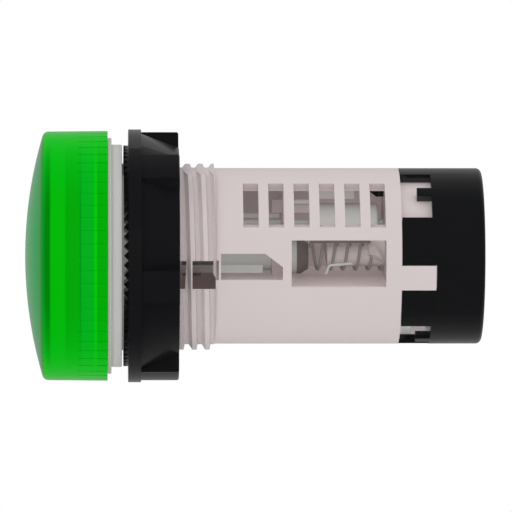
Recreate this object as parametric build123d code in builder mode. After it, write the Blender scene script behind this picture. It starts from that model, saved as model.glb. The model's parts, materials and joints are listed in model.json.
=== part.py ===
# Panel pilot light for a 22 mm hole: green screw-off lens, threaded barrel with a toothed
# lock washer and ring nut, slotted housing with the lamp's spring contact, and a black cap
# over three clamp terminals.
#
# Frame: X runs along the light's axis, from the lens (minus) to the terminals (plus).
# X = 0 is the rear face of the gasket, which seats on the panel. Z is up. The side with
# the windows faces minus Y. Lengths are in millimetres.
#
# Angles round the axis are measured from the minus Y side towards plus Z.

from build123d import *
from math import cos, pi, radians, sin, sqrt, tan
import os

os.makedirs("parts", exist_ok=True)

# Head and panel seat
head_radius = 14.5
skirt_draft = 0.07
dome_apex_x = -11.21
dome_sphere_radius = 49.0
dome_corner_radius = 0.7
lens_wall = 1.4
grip_length = 3.51
grip_ribs = 60
grip_groove_depth = 0.3
grip_groove_width = 0.45
flange_inset = 0.82
flange_thickness = 0.42
gasket_width = 1.91
gasket_thickness = 1.2
gasket_gap = 0.05
lens_seat_gap = 0.09

# Bayonet between the lens and the head's collar
lens_side_wall = 1.48
collar_reach = 4.9
lug_height = 0.62
lug_thickness = 1.6
lug_from_flange = 1.55
lug_span = 26.0
bayonet_count = 3
bayonet_gap = 0.25
bayonet_clearance = 0.2
hook_clearance = 0.15

# Barrel, thread and the flat that keys the washer
neck_step = 0.05
neck_length = 1.0
thread_height = 0.55
thread_root_step = 0.15
thread_pitch = 1.5
thread_crest_width = 0.5
thread_root_width = 1.15
thread_end_x = 10.9
thread_sink = 0.08
thread_start_gap = 0.07
flat_angle = 80.0
flat_wall = 0.8

# Lock washer and nut
washer_radius = 12.82
washer_play = 0.15
washer_tip_x = 0.19
tooth_count = 72
tooth_height = 0.53
washer_body = 0.75
washer_gap = 0.08
washer_stand_off = 0.03
key_root_depth = 0.3
key_gap = 0.12
nut_flange_radius = 14.68
nut_flange_thickness = 1.47
nut_body_radius = 14.55
nut_body_length = 4.38
nut_play = 0.1
nut_corner_radius = 0.25
scallop_count = 6
scallop_angle = 15.5
scallop_edge_half_angle = 22.5
scallop_ramp_slope = 50.0
scallop_floor_front = 14.2
scallop_floor_rear = 12.55
scallop_overcut = 3.0

# Housing
housing_radius = 10.2
housing_wall = 1.05
housing_rim_x = 31.9
slot_count = 6
slot_first_x = 13.9
slot_pitch = 2.92
slot_width = 1.77
slot_top_angle = 54.8
slot_bottom_angle = 18.6
slot_sill_slope = 15.0
front_window = (11.31, 18.42)
front_window_z = (-2.78, 0.23)
front_window_chamfer = (2.0, 1.55)
main_window = (19.42, 30.3)
main_window_z = (-3.55, 1.76)
thread_window = (6.0, 10.75)
thread_window_z = (-3.8, -0.6)
web_front_x = (7.21, 7.38)
web_rear_x = 8.04
pane_step_x = 10.45
pane_step_z = (-2.55, -2.1)
recess_x_span = (10.78, 11.08)
recess_z = (-2.78, -0.55)
recess_floor_y = 9.45
window_overcut = 3.0
slot_undercut = 0.5
slot_overcut = 2.0
tab_angle = -14.7
tab_span = 16.4
tab_end_x = 36.05
tab_gap = 0.1
tab_side_gap = 0.5
terminal_count = 3

# Shelves that stiffen the housing below its windows
main_shelf_slope = 7.2
main_shelf_drop = 2.35
front_shelf_slope = 3.3
front_shelf_drop = 2.22
shelf_thickness = 1.0
lamp_wall_thickness = 1.2
guide_wall = (18.55, 19.3)
guide_boss_x = 17.4
guide_boss_half_width = 3.0
guide_boss_z = (-2.9, 2.6)
guide_rib_z = (5.0, 6.5)
lamp_stop_gap = 0.2

# Lamp and its contacts
bulb_radius = 3.0
bulb_length = 10.2
lamp_flange_radius = 3.45
lamp_flange_thickness = 0.9
lamp_base_radius = 2.75
lamp_base_length = 3.4
lamp_base_x = 3.6
stem_radius = 2.3
stem_shoulder_x = 9.2
stem_tip_radius = 1.63
plunger_x = 17.35
plunger_radius = 2.07
plunger_length = 4.3
plunger_chamfer = 0.85
slide_gap = 0.1
lamp_stroke = 1.4
contact_strip_end_x = 16.3
contact_strip_z = (-1.97, -1.05)
contact_strip_thickness = 0.3
contact_strip_gap = 0.2

# Contact spring, wound left-handed
spring_radius = 1.55
spring_wire = 0.36
spring_pitch = 1.53
spring_end_gap = 0.02
post_radius = 1.2
post_reach = 6.3

# Guard on the carrier, in front of the spring's rear end, and the rail that it holds
guard_y = (-1.95, -3.0)
guard_top_z = 2.1
guard_x = 28.6
guard_corner_z = 0.0
guard_face_x = (28.77, 29.9)
guard_face_corner_z = 0.1
guard_low_z = -0.9
rail_x = 21.9
rail_y = -2.1
rail_thickness = 0.25
rail_z = (1.46, 1.96)
rail_seat_depth = 0.8
rail_gap = 0.03

# Series resistor and the wires on it
resistor_radius = 2.4
resistor_place = (3.0, 3.95)
resistor_x = (22.0, 29.9)
lead_radius = 0.3
lead_seat_gap = 0.05
lead_seat_depth = 1.2
resistor_edge = 0.45
link_wire_radius = 0.16
link_wire_y = -2.75
link_wire_end_y = -1.95
wire_sides = 8
link_wire_x = (23.75, 26.85)
link_wire_z = -0.98
link_wire_lean = 0.5
link_wire_bend = 0.35

# Terminal carrier and terminals
carrier_x = 30.45
carrier_end_x = 37.0
carrier_gap = 0.05
terminal_angle = 45.3
terminal_radius = 6.1
pocket_width = 5.4
pocket_inner_radius = 3.3
pocket_floor_x = 32.6
plate_thickness = 0.9
plate_gap = 0.05
plate_setback = 0.4
clamp_width = 4.9
clamp_thickness = 0.9
clamp_opening = 1.7
terminal_screw_radius = 1.5
terminal_head_radius = 2.3
terminal_head_height = 1.5
terminal_slot_width = 0.7
terminal_slot_depth = 0.75
screw_gap = 0.06
screw_reach = 3.5
screw_hole_floor = 0.4

# Rear cap
cap_end_x = 41.7
cap_wall = 0.95
cap_end_wall = 1.5
cap_corner_radius = 0.6
cap_rim_gap = 0.06
notch_span = 41.0
notch_end_x = 35.6
tongue_span = 12.5
tongue_length = 1.8
driver_hole_radius = 2.6

# Places that follow from the sizes above
flange_radius = head_radius - flange_inset
thread_root_radius = housing_radius + thread_root_step
thread_crest_radius = thread_root_radius + thread_height
neck_radius = thread_crest_radius + neck_step
washer_bore_radius = thread_crest_radius + washer_play
nut_bore_radius = thread_crest_radius + nut_play
gasket_bore_radius = neck_radius + gasket_gap
gasket_radius = gasket_bore_radius + gasket_width
flange_x = -gasket_thickness - flange_thickness
lens_rear_x = flange_x - lens_seat_gap
collar_front_x = flange_x - collar_reach
lug_x = flange_x - lug_from_flange
housing_bore = housing_radius - housing_wall
flat_distance = housing_bore + flat_wall
lens_bore = head_radius - lens_side_wall
collar_radius = lens_bore - bayonet_clearance - lug_height
collar_bore = (collar_radius + housing_bore) / 2
nut_x = washer_tip_x + tooth_height + washer_stand_off
nut_body_x = nut_x + nut_flange_thickness
nut_end_x = nut_body_x + nut_body_length
washer_end_x = washer_tip_x + tooth_height + washer_body
plunger_end_x = plunger_x + plunger_length
clamp_x = pocket_floor_x + plate_thickness + clamp_opening
lamp_wall_x = lamp_base_x + lamp_stroke + lamp_stop_gap
lamp_wall_end_x = lamp_wall_x + lamp_wall_thickness
far = 20.0
join_depth = 0.1
cut_margin = 0.2


def polar_point(radius, angle):
    """Point in the YZ plane at an angle that starts at minus Y and turns towards plus Z."""
    return (-radius * cos(radians(angle)), radius * sin(radians(angle)))


def plane_angle(angle):
    """The same angle as the YZ sketch plane counts it, from plus Y towards plus Z."""
    return 180.0 - angle


def sector_points(half_span):
    """A wedge from the axis outwards, about the sketch's first direction."""
    side = far * tan(radians(half_span))
    return [(0, 0), (far, side), (far, -side)]


def dome_x(radius, offset=0.0):
    """Where the dome, or a surface offset inside it, lies at a distance from the axis."""
    sphere = dome_sphere_radius - offset
    return dome_apex_x + offset + sphere - sqrt(sphere ** 2 - radius ** 2)


# Lens cap: shallow dome, smooth skirt, ribbed grip and three bayonet hooks inside
skirt_front_radius = head_radius - skirt_draft
lens_inner_corner = head_radius - lens_wall
with BuildPart() as lens_cap:
    with BuildSketch(Plane.XZ):
        with BuildLine():
            front_corner = (dome_x(skirt_front_radius), skirt_front_radius)
            front_middle = (dome_x(skirt_front_radius / 2), skirt_front_radius / 2)
            inner_corner = (dome_x(lens_inner_corner, lens_wall), lens_inner_corner)
            inner_middle = (dome_x(lens_inner_corner / 2, lens_wall), lens_inner_corner / 2)
            ThreePointArc((dome_apex_x, 0), front_middle, front_corner)
            Polyline(front_corner, (lens_rear_x, head_radius), (lens_rear_x, lens_bore),
                     (collar_front_x, lens_bore), (collar_front_x, lens_inner_corner),
                     inner_corner)
            ThreePointArc(inner_corner, inner_middle, (dome_apex_x + lens_wall, 0))
            Line((dome_apex_x + lens_wall, 0), (dome_apex_x, 0))
        make_face()
        outer = vertices().sort_by_distance(front_corner)[0]
        fillet(outer, radius=dome_corner_radius)
    revolve(axis=Axis.X)
    # Grip grooves, cut inwards from the rear edge of the skirt
    with BuildSketch(Plane.YZ.offset(lens_rear_x - grip_length)):
        with PolarLocations(head_radius, grip_ribs):
            Polygon((-grip_groove_depth, 0), (cut_margin, grip_groove_width / 2),
                    (cut_margin, -grip_groove_width / 2), align=None)
    extrude(amount=grip_length + cut_margin, mode=Mode.SUBTRACT)
    # Bayonet hooks that stand behind the collar's lugs
    hook_front_x = lug_x + bayonet_gap
    with BuildSketch(Plane.YZ.offset(hook_front_x)):
        Circle(lens_bore + join_depth)
        Circle(collar_radius + hook_clearance, mode=Mode.SUBTRACT)
        with PolarLocations(0, bayonet_count, plane_angle(90)):
            Polygon(*sector_points(lug_span / 2), align=None, mode=Mode.INTERSECT)
    extrude(amount=lens_rear_x - hook_front_x)
lens_cap.part.label = "lens_cap"
export_step(lens_cap.part, "parts/lens_cap.step")

# Thread ridge, one start, right-handed
thread_start_x = neck_length + thread_root_width / 2 + thread_start_gap
thread_run = thread_end_x - thread_root_width / 2 - thread_start_x
with BuildPart() as thread_ridge:
    with BuildLine() as thread_path:
        Helix(pitch=thread_pitch, height=thread_run, radius=thread_root_radius - thread_sink,
              center=(thread_start_x, 0, 0), direction=(1, 0, 0))
    thread_origin = thread_path.line @ 0
    ridge_height = thread_crest_radius - thread_root_radius + thread_sink
    with BuildSketch(Plane(origin=thread_origin, x_dir=(1, 0, 0), z_dir=(0, -1, 0))):
        Polygon((-thread_root_width / 2, 0), (-thread_crest_width / 2, ridge_height),
                (thread_crest_width / 2, ridge_height), (thread_root_width / 2, 0), align=None)
    sweep(path=thread_path.line, is_frenet=True)

# Outline of one cooling slot in the YZ plane: radial top face, sill that sheds outwards
slot_reach = housing_bore - slot_undercut
sill_outer = polar_point(housing_radius, slot_bottom_angle)
sill_inner_y = -slot_reach * cos(radians(slot_bottom_angle))
sill_rise = tan(radians(slot_sill_slope))
slot_outline = [
    polar_point(slot_reach, slot_top_angle),
    polar_point(housing_radius + slot_overcut, slot_top_angle),
    (sill_outer[0] - slot_overcut, sill_outer[1] - slot_overcut * sill_rise),
    (sill_inner_y, sill_outer[1] + (sill_inner_y - sill_outer[0]) * sill_rise),
]


def shelf_outline(drop, slope):
    """A shelf right across the barrel, lower on the window side."""
    rise = far * tan(radians(slope))
    return [(-far, -drop - rise), (far, -drop + rise),
            (far, -drop + rise - shelf_thickness), (-far, -drop - rise - shelf_thickness)]


# Housing: collar, flange, threaded barrel and windowed body in one moulding
with BuildPart() as housing:
    with BuildSketch(Plane.XZ):
        with BuildLine():
            Polyline((collar_front_x, collar_bore),
                     (collar_front_x, collar_radius), (flange_x, collar_radius),
                     (flange_x, flange_radius), (-gasket_thickness, flange_radius),
                     (-gasket_thickness, neck_radius), (neck_length, neck_radius),
                     (neck_length, thread_root_radius), (thread_end_x, thread_root_radius),
                     (thread_end_x, housing_radius), (housing_rim_x, housing_radius),
                     (housing_rim_x, housing_bore), (flange_x, housing_bore),
                     (flange_x, collar_bore), close=True)
        make_face()
    revolve(axis=Axis.X)
    # Bayonet lugs on the collar, a part turn away from the open way between the hooks
    with BuildSketch(Plane.YZ.offset(lug_x)):
        Circle(collar_radius + lug_height)
        Circle((collar_bore + collar_radius) / 2, mode=Mode.SUBTRACT)
        with PolarLocations(0, bayonet_count, plane_angle(90)):
            Polygon(*sector_points(lug_span / 2), align=None, mode=Mode.INTERSECT)
    extrude(amount=-lug_thickness)
    # Two windows in the side wall
    with BuildSketch(Plane.XZ.offset(housing_bore - window_overcut)):
        window_middle_x = (main_window[0] + main_window[1]) / 2
        window_middle_z = (main_window_z[0] + main_window_z[1]) / 2
        with Locations((window_middle_x, window_middle_z)):
            Rectangle(main_window[1] - main_window[0], main_window_z[1] - main_window_z[0])
        Polygon((front_window[0], front_window_z[0]), (front_window[0], front_window_z[1]),
                (front_window[1] - front_window_chamfer[0], front_window_z[1]),
                (front_window[1], front_window_z[1] - front_window_chamfer[1]),
                (front_window[1], front_window_z[0]), align=None)
    extrude(amount=far, mode=Mode.SUBTRACT)
    # A row of slots on each side
    for slot in range(slot_count):
        with BuildSketch(Plane.YZ.offset(slot_first_x + slot * slot_pitch)):
            Polygon(*slot_outline, align=None)
            Polygon(*[(-y, -z) for y, z in slot_outline], align=None)
        extrude(amount=slot_width, mode=Mode.SUBTRACT)
    add(thread_ridge.part)
    # Flat along the thread for the lock washer
    with BuildSketch(Plane.YZ):
        with PolarLocations(0, 1, plane_angle(flat_angle)):
            with Locations((flat_distance + far / 2, 0)):
                Rectangle(far, far)
    extrude(amount=thread_end_x, mode=Mode.SUBTRACT)
    # Small window through the thread, in two panes with a web between them
    with BuildSketch(Plane.XZ.offset(housing_bore - window_overcut)):
        Polygon((thread_window[0], thread_window_z[0]), (thread_window[0], thread_window_z[1]),
                (web_front_x[1], thread_window_z[1]), (web_front_x[0], thread_window_z[0]),
                align=None)
        Polygon((web_rear_x, thread_window_z[0]), (web_rear_x, thread_window_z[1]),
                (pane_step_x, thread_window_z[1]), (pane_step_x, pane_step_z[1]),
                (thread_window[1], pane_step_z[0]), (thread_window[1], thread_window_z[0]),
                align=None)
    extrude(amount=far, mode=Mode.SUBTRACT)
    # Shallow recess between that window and the front window
    with BuildSketch(Plane.XZ.offset(recess_floor_y)):
        Polygon((recess_x_span[0], recess_z[0]), (recess_x_span[0], recess_z[1]),
                (recess_x_span[1], recess_z[1]), (recess_x_span[1], recess_z[0]), align=None)
    extrude(amount=far, mode=Mode.SUBTRACT)
    # Cross walls: one holds the lamp, one guides the plunger and lets the lead through
    with BuildSketch(Plane.YZ.offset(lamp_wall_x)):
        Circle(housing_bore + join_depth)
        Circle(lamp_base_radius + slide_gap, mode=Mode.SUBTRACT)
    extrude(amount=lamp_wall_thickness)
    with BuildSketch(Plane.YZ.offset(guide_wall[0])):
        Circle(housing_bore + join_depth)
        Circle(plunger_radius + slide_gap, mode=Mode.SUBTRACT)
        with Locations(resistor_place):
            Circle(lead_radius + slide_gap, mode=Mode.SUBTRACT)
    extrude(amount=guide_wall[1] - guide_wall[0])
    # Boss round the plunger's bore and a rib above it, both on the guide wall's front
    with BuildSketch(Plane.YZ.offset(guide_boss_x)):
        for low, high in (guide_boss_z, guide_rib_z):
            with Locations((0, (low + high) / 2)):
                Rectangle(2 * guide_boss_half_width, high - low)
        Circle(plunger_radius + slide_gap, mode=Mode.SUBTRACT)
        with Locations(resistor_place):
            Circle(lead_radius + slide_gap, mode=Mode.SUBTRACT)
    extrude(amount=guide_wall[0] - guide_boss_x)
    # Shelves below the windows
    with BuildSketch(Plane.YZ.offset(guide_wall[1])):
        Circle(housing_bore + join_depth)
        Polygon(*shelf_outline(main_shelf_drop, main_shelf_slope), align=None,
                mode=Mode.INTERSECT)
    extrude(amount=carrier_x - guide_wall[1])
    with BuildSketch(Plane.YZ.offset(front_window[0])):
        Circle(housing_bore + join_depth)
        Polygon(*shelf_outline(front_shelf_drop, front_shelf_slope), align=None,
                mode=Mode.INTERSECT)
    extrude(amount=guide_wall[0] - front_window[0])
    # Tabs that key the rear cap
    with BuildSketch(Plane.YZ.offset(housing_rim_x)):
        Circle(housing_radius)
        Circle(housing_bore, mode=Mode.SUBTRACT)
        with PolarLocations(0, terminal_count, plane_angle(tab_angle)):
            Polygon(*sector_points(tab_span / 2), align=None, mode=Mode.INTERSECT)
    extrude(amount=tab_end_x - housing_rim_x)
housing.part.label = "housing"
export_step(housing.part, "parts/housing.step")

# Sealing gasket behind the flange
with BuildPart() as sealing_gasket:
    with BuildSketch(Plane.YZ):
        Circle(gasket_radius)
        Circle(gasket_bore_radius, mode=Mode.SUBTRACT)
    extrude(amount=-gasket_thickness)
sealing_gasket.part.label = "sealing_gasket"
export_step(sealing_gasket.part, "parts/sealing_gasket.step")

# Lock washer: pointed teeth towards the panel, bore filled to suit the barrel's flat
tooth_pitch = 2 * pi * washer_radius / tooth_count
washer_root_x = washer_tip_x + tooth_height
with BuildPart() as tooth_gap:
    with BuildSketch(Plane.XY.offset(washer_bore_radius - cut_margin)):
        Polygon((washer_root_x, 0), (washer_root_x - 2 * tooth_height, tooth_pitch),
                (washer_root_x - 2 * tooth_height, -tooth_pitch), align=None)
    extrude(amount=washer_radius - washer_bore_radius + 2 * cut_margin)
tooth_gaps = [tooth_gap.part.rotate(Axis.X, 360 / tooth_count * i) for i in range(tooth_count)]
with BuildPart() as lock_washer:
    with BuildSketch(Plane.YZ.offset(washer_tip_x)):
        Circle(washer_radius)
        Circle(washer_bore_radius, mode=Mode.SUBTRACT)
    extrude(amount=washer_end_x - washer_tip_x)
    add(tooth_gaps, mode=Mode.SUBTRACT)
    with BuildSketch(Plane.YZ.offset(washer_root_x)):
        Circle(washer_bore_radius + key_root_depth)
        with PolarLocations(0, 1, plane_angle(flat_angle)):
            with Locations((flat_distance + key_gap + far / 2, 0)):
                Rectangle(far, far, mode=Mode.INTERSECT)
    extrude(amount=washer_end_x - washer_root_x)
lock_washer.part.label = "lock_washer"
export_step(lock_washer.part, "parts/lock_washer.step")

# Shape of one scallop of the nut, from behind the flange to past the rear face
edge_half_angle = radians(scallop_edge_half_angle)
edge_point = (nut_body_radius * cos(edge_half_angle), nut_body_radius * sin(edge_half_angle))
ramp = tan(radians(scallop_ramp_slope))
valley = edge_point[0] - edge_point[1] * ramp
ramp_end = (edge_point[0] + scallop_overcut * ramp, edge_point[1] + scallop_overcut)
scallop_run = nut_body_length + cut_margin
floor_fall = (scallop_floor_front - scallop_floor_rear) / nut_body_length
floor_rear = scallop_floor_rear - cut_margin * floor_fall
with BuildPart() as scallops:
    with BuildSketch(Plane.YZ.offset(nut_body_x)):
        with PolarLocations(0, scallop_count, plane_angle(scallop_angle)):
            Polygon((valley, 0), ramp_end, (ramp_end[0], -ramp_end[1]), align=None)
    extrude(amount=scallop_run)
    with BuildSketch(Plane.XZ):
        Polygon((nut_body_x - cut_margin, 0), (nut_body_x - cut_margin, scallop_floor_front),
                (nut_body_x, scallop_floor_front), (nut_body_x + scallop_run, floor_rear),
                (nut_body_x + scallop_run, 0), align=None)
    revolve(axis=Axis.X, mode=Mode.SUBTRACT)

# Ring nut: smooth flange, recess for the lock washer, six scallops for the fingers
with BuildPart() as fixing_nut:
    recess_radius = washer_radius + washer_gap
    recess_x = washer_end_x + washer_gap
    with BuildSketch(Plane.XZ):
        with BuildLine():
            Polyline((nut_x, recess_radius), (nut_x, nut_flange_radius),
                     (nut_body_x, nut_flange_radius), (nut_body_x, nut_body_radius),
                     (nut_end_x, nut_body_radius), (nut_end_x, nut_bore_radius),
                     (recess_x, nut_bore_radius), (recess_x, recess_radius), close=True)
        make_face()
        rear_corner = vertices().sort_by_distance((nut_end_x, nut_body_radius))[0]
        fillet(rear_corner, radius=nut_corner_radius)
    revolve(axis=Axis.X)
    add(scallops.part, mode=Mode.SUBTRACT)
fixing_nut.part.label = "fixing_nut"
export_step(fixing_nut.part, "parts/fixing_nut.step")

# Lamp: glass envelope and turned base with a long centre contact
lamp_front_x = lamp_base_x - lamp_flange_thickness
with BuildPart() as lamp_bulb:
    with BuildSketch(Plane.XZ):
        with BuildLine():
            tip_centre_x = lamp_front_x - bulb_length + bulb_radius
            Line((tip_centre_x - bulb_radius, 0), (lamp_front_x, 0))
            Line((lamp_front_x, 0), (lamp_front_x, bulb_radius))
            Line((lamp_front_x, bulb_radius), (tip_centre_x, bulb_radius))
            RadiusArc((tip_centre_x, bulb_radius), (tip_centre_x - bulb_radius, 0),
                      -bulb_radius)
        make_face()
    revolve(axis=Axis.X)
lamp_bulb.part.label = "lamp_bulb"
export_step(lamp_bulb.part, "parts/lamp_bulb.step")

lamp_base_end_x = lamp_base_x + lamp_base_length
with BuildPart() as lamp_base:
    with BuildSketch(Plane.XZ):
        Polygon((lamp_front_x, 0), (lamp_front_x, lamp_flange_radius),
                (lamp_base_x, lamp_flange_radius), (lamp_base_x, lamp_base_radius),
                (lamp_base_end_x, lamp_base_radius), (lamp_base_end_x, 0), align=None)
    revolve(axis=Axis.X)
lamp_base.part.label = "lamp_base"
export_step(lamp_base.part, "parts/lamp_base.step")

with BuildPart() as contact_stem:
    with BuildSketch(Plane.XZ):
        Polygon((lamp_base_end_x, 0), (lamp_base_end_x, stem_radius),
                (stem_shoulder_x, stem_radius), (stem_shoulder_x, stem_tip_radius),
                (plunger_x, stem_tip_radius), (plunger_x, 0), align=None)
    revolve(axis=Axis.X)
contact_stem.part.label = "contact_stem"
export_step(contact_stem.part, "parts/contact_stem.step")

# Plunger that the spring holds against the lamp's centre contact
with BuildPart() as contact_plunger:
    with BuildSketch(Plane.XZ):
        Polygon((plunger_x, 0), (plunger_x, plunger_radius),
                (plunger_end_x - plunger_chamfer / 2, plunger_radius),
                (plunger_end_x, plunger_radius - plunger_chamfer), (plunger_end_x, 0),
                align=None)
    revolve(axis=Axis.X)
contact_plunger.part.label = "contact_plunger"
export_step(contact_plunger.part, "parts/contact_plunger.step")

# Compression spring between the plunger and the terminal carrier
spring_start_x = plunger_end_x + spring_wire / 2 + spring_end_gap
spring_run = carrier_x - spring_wire / 2 - spring_end_gap - spring_start_x
with BuildPart() as contact_spring:
    with BuildLine() as spring_path:
        Helix(pitch=spring_pitch, height=spring_run, radius=spring_radius,
              center=(spring_start_x, 0, 0), direction=(1, 0, 0), lefthand=True)
    with BuildSketch(Plane(origin=spring_path.line @ 0, z_dir=spring_path.line % 0)):
        RegularPolygon(radius=spring_wire / 2, side_count=wire_sides)
    sweep(path=spring_path.line, is_frenet=True)
contact_spring.part.label = "contact_spring"
export_step(contact_spring.part, "parts/contact_spring.step")

# Contact strip beside the lamp's stem, fixed to the lamp wall
strip_y = -(stem_radius + contact_strip_gap)
strip_length = contact_strip_end_x - lamp_wall_end_x
strip_middle_z = (contact_strip_z[0] + contact_strip_z[1]) / 2
with BuildPart() as contact_strip:
    with BuildSketch(Plane.XZ.offset(-strip_y)):
        with Locations((lamp_wall_end_x + strip_length / 2, strip_middle_z)):
            Rectangle(strip_length, contact_strip_z[1] - contact_strip_z[0])
    extrude(amount=contact_strip_thickness)
contact_strip.part.label = "contact_strip"
export_step(contact_strip.part, "parts/contact_strip.step")

# Series resistor with a lead at each end
with BuildPart() as series_resistor:
    with BuildSketch(Plane.YZ.offset(resistor_x[0])):
        with Locations(resistor_place):
            Circle(resistor_radius)
    extrude(amount=resistor_x[1] - resistor_x[0])
    chamfer(series_resistor.edges().filter_by(GeomType.CIRCLE), length=resistor_edge)
series_resistor.part.label = "series_resistor"
export_step(series_resistor.part, "parts/series_resistor.step")

with BuildPart() as resistor_lead_front:
    with BuildSketch(Plane.YZ.offset(lamp_wall_end_x)):
        with Locations(resistor_place):
            Circle(lead_radius)
    extrude(amount=resistor_x[0] - lamp_wall_end_x)
resistor_lead_front.part.label = "resistor_lead_front"
export_step(resistor_lead_front.part, "parts/resistor_lead_front.step")

rear_lead_end_x = carrier_x + lead_seat_depth
with BuildPart() as resistor_lead_rear:
    with BuildSketch(Plane.YZ.offset(resistor_x[1])):
        with Locations(resistor_place):
            Circle(lead_radius)
    extrude(amount=rear_lead_end_x - resistor_x[1])
resistor_lead_rear.part.label = "resistor_lead_rear"
export_step(resistor_lead_rear.part, "parts/resistor_lead_rear.step")

# Wire link in front of the spring: one foot stands on the shelf, the other end turns back
shelf_top = -main_shelf_drop + link_wire_y * tan(radians(main_shelf_slope))
with BuildPart() as link_wire:
    with BuildLine() as link_path:
        FilletPolyline((link_wire_x[0], link_wire_y, shelf_top),
                       (link_wire_x[0] + link_wire_lean, link_wire_y, link_wire_z),
                       (link_wire_x[1], link_wire_y, link_wire_z),
                       (link_wire_x[1], link_wire_end_y, link_wire_z), radius=link_wire_bend)
    with BuildSketch(Plane(origin=link_path.line @ 0, z_dir=link_path.line % 0)):
        RegularPolygon(radius=link_wire_radius, side_count=wire_sides)
    sweep(path=link_path.line)
link_wire.part.label = "link_wire"
export_step(link_wire.part, "parts/link_wire.step")

# Terminal carrier: closes the barrel, holds the three terminals and the spring's post
with BuildPart() as terminal_carrier:
    with BuildSketch(Plane.YZ.offset(carrier_x)):
        Circle(housing_bore - carrier_gap)
    extrude(amount=carrier_end_x - carrier_x)
    with BuildSketch(Plane.YZ.offset(pocket_floor_x)):
        pocket_reach = housing_radius - pocket_inner_radius
        with PolarLocations(0, terminal_count, plane_angle(terminal_angle)):
            with Locations((pocket_inner_radius + pocket_reach / 2, 0)):
                Rectangle(pocket_reach, pocket_width)
    extrude(amount=carrier_end_x - pocket_floor_x, mode=Mode.SUBTRACT)
    # Blind holes for the tips of the terminal screws
    screw_tip_x = clamp_x + clamp_thickness - screw_reach
    with BuildSketch(Plane.YZ.offset(pocket_floor_x)):
        with PolarLocations(terminal_radius, terminal_count, plane_angle(terminal_angle)):
            Circle(terminal_screw_radius + screw_gap)
    extrude(amount=carrier_x + screw_hole_floor - pocket_floor_x, mode=Mode.SUBTRACT)
    with BuildSketch(Plane.YZ.offset(carrier_x)):
        with Locations(resistor_place):
            Circle(lead_radius + lead_seat_gap)
    extrude(amount=rear_lead_end_x - carrier_x, mode=Mode.SUBTRACT)
    with BuildSketch(Plane.YZ.offset(carrier_x)):
        Circle(post_radius)
    extrude(amount=-post_reach)
    # Guard with a raked front corner, and the pocket for the rail's end
    root_x = carrier_x + join_depth
    with BuildSketch(Plane.XZ.offset(-guard_y[0])):
        Polygon((guard_x, guard_top_z), (guard_x, guard_corner_z), (root_x, guard_low_z),
                (root_x, guard_top_z), align=None)
    with BuildSketch(Plane.XZ.offset(-guard_y[1])):
        Polygon((guard_face_x[0], guard_top_z), (guard_face_x[1], guard_face_corner_z),
                (root_x, guard_low_z), (root_x, guard_top_z), align=None)
    loft(ruled=True)
    rail_middle_z = (rail_z[0] + rail_z[1]) / 2
    rail_height = rail_z[1] - rail_z[0]
    with BuildSketch(Plane.XZ.offset(-rail_y - rail_gap)):
        with Locations((guard_x + rail_seat_depth / 2, rail_middle_z)):
            Rectangle(rail_seat_depth, rail_height + 2 * rail_gap)
    extrude(amount=rail_thickness + 2 * rail_gap, mode=Mode.SUBTRACT)
terminal_carrier.part.label = "terminal_carrier"
export_step(terminal_carrier.part, "parts/terminal_carrier.step")

# Contact rail above the spring, its end held in the carrier's guard
rail_end_x = guard_x + rail_seat_depth - rail_gap
with BuildPart() as contact_rail:
    with BuildSketch(Plane.XZ.offset(-rail_y)):
        with Locations(((rail_x + rail_end_x) / 2, rail_middle_z)):
            Rectangle(rail_end_x - rail_x, rail_height)
    extrude(amount=rail_thickness)
contact_rail.part.label = "contact_rail"
export_step(contact_rail.part, "parts/contact_rail.step")

# Three clamp terminals, each a plate, a saddle clamp and a slotted screw
for number in range(terminal_count):
    around = plane_angle(terminal_angle + number * 360 / terminal_count)
    with BuildPart() as terminal_plate:
        plate_inner = pocket_inner_radius + plate_gap
        plate_reach = housing_bore - carrier_gap - plate_setback - plate_inner
        with BuildSketch(Plane.YZ.offset(pocket_floor_x)):
            with PolarLocations(0, 1, around):
                with Locations((plate_inner + plate_reach / 2, 0)):
                    Rectangle(plate_reach, pocket_width - 2 * plate_gap)
            with PolarLocations(terminal_radius, 1, around):
                Circle(terminal_screw_radius + screw_gap, mode=Mode.SUBTRACT)
        extrude(amount=plate_thickness)
    terminal_plate.part.label = f"terminal_plate_{number + 1}"
    export_step(terminal_plate.part, f"parts/terminal_plate_{number + 1}.step")

    with BuildPart() as wire_clamp:
        with BuildSketch(Plane.YZ.offset(clamp_x)):
            with PolarLocations(terminal_radius, 1, around):
                Rectangle(clamp_width, clamp_width)
                Circle(terminal_screw_radius + screw_gap, mode=Mode.SUBTRACT)
        extrude(amount=clamp_thickness)
    wire_clamp.part.label = f"wire_clamp_{number + 1}"
    export_step(wire_clamp.part, f"parts/wire_clamp_{number + 1}.step")

    with BuildPart() as terminal_screw:
        head_x = clamp_x + clamp_thickness + screw_gap
        with BuildSketch(Plane.YZ.offset(screw_tip_x)):
            with PolarLocations(terminal_radius, 1, around):
                Circle(terminal_screw_radius)
        extrude(amount=head_x - screw_tip_x)
        with BuildSketch(Plane.YZ.offset(head_x)):
            with PolarLocations(terminal_radius, 1, around):
                Circle(terminal_head_radius)
        extrude(amount=terminal_head_height)
        with BuildSketch(Plane.YZ.offset(head_x + terminal_head_height)):
            with PolarLocations(terminal_radius, 1, around):
                Rectangle(2 * (terminal_head_radius + cut_margin), terminal_slot_width)
        extrude(amount=-terminal_slot_depth, mode=Mode.SUBTRACT)
    terminal_screw.part.label = f"terminal_screw_{number + 1}"
    export_step(terminal_screw.part, f"parts/terminal_screw_{number + 1}.step")

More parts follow.
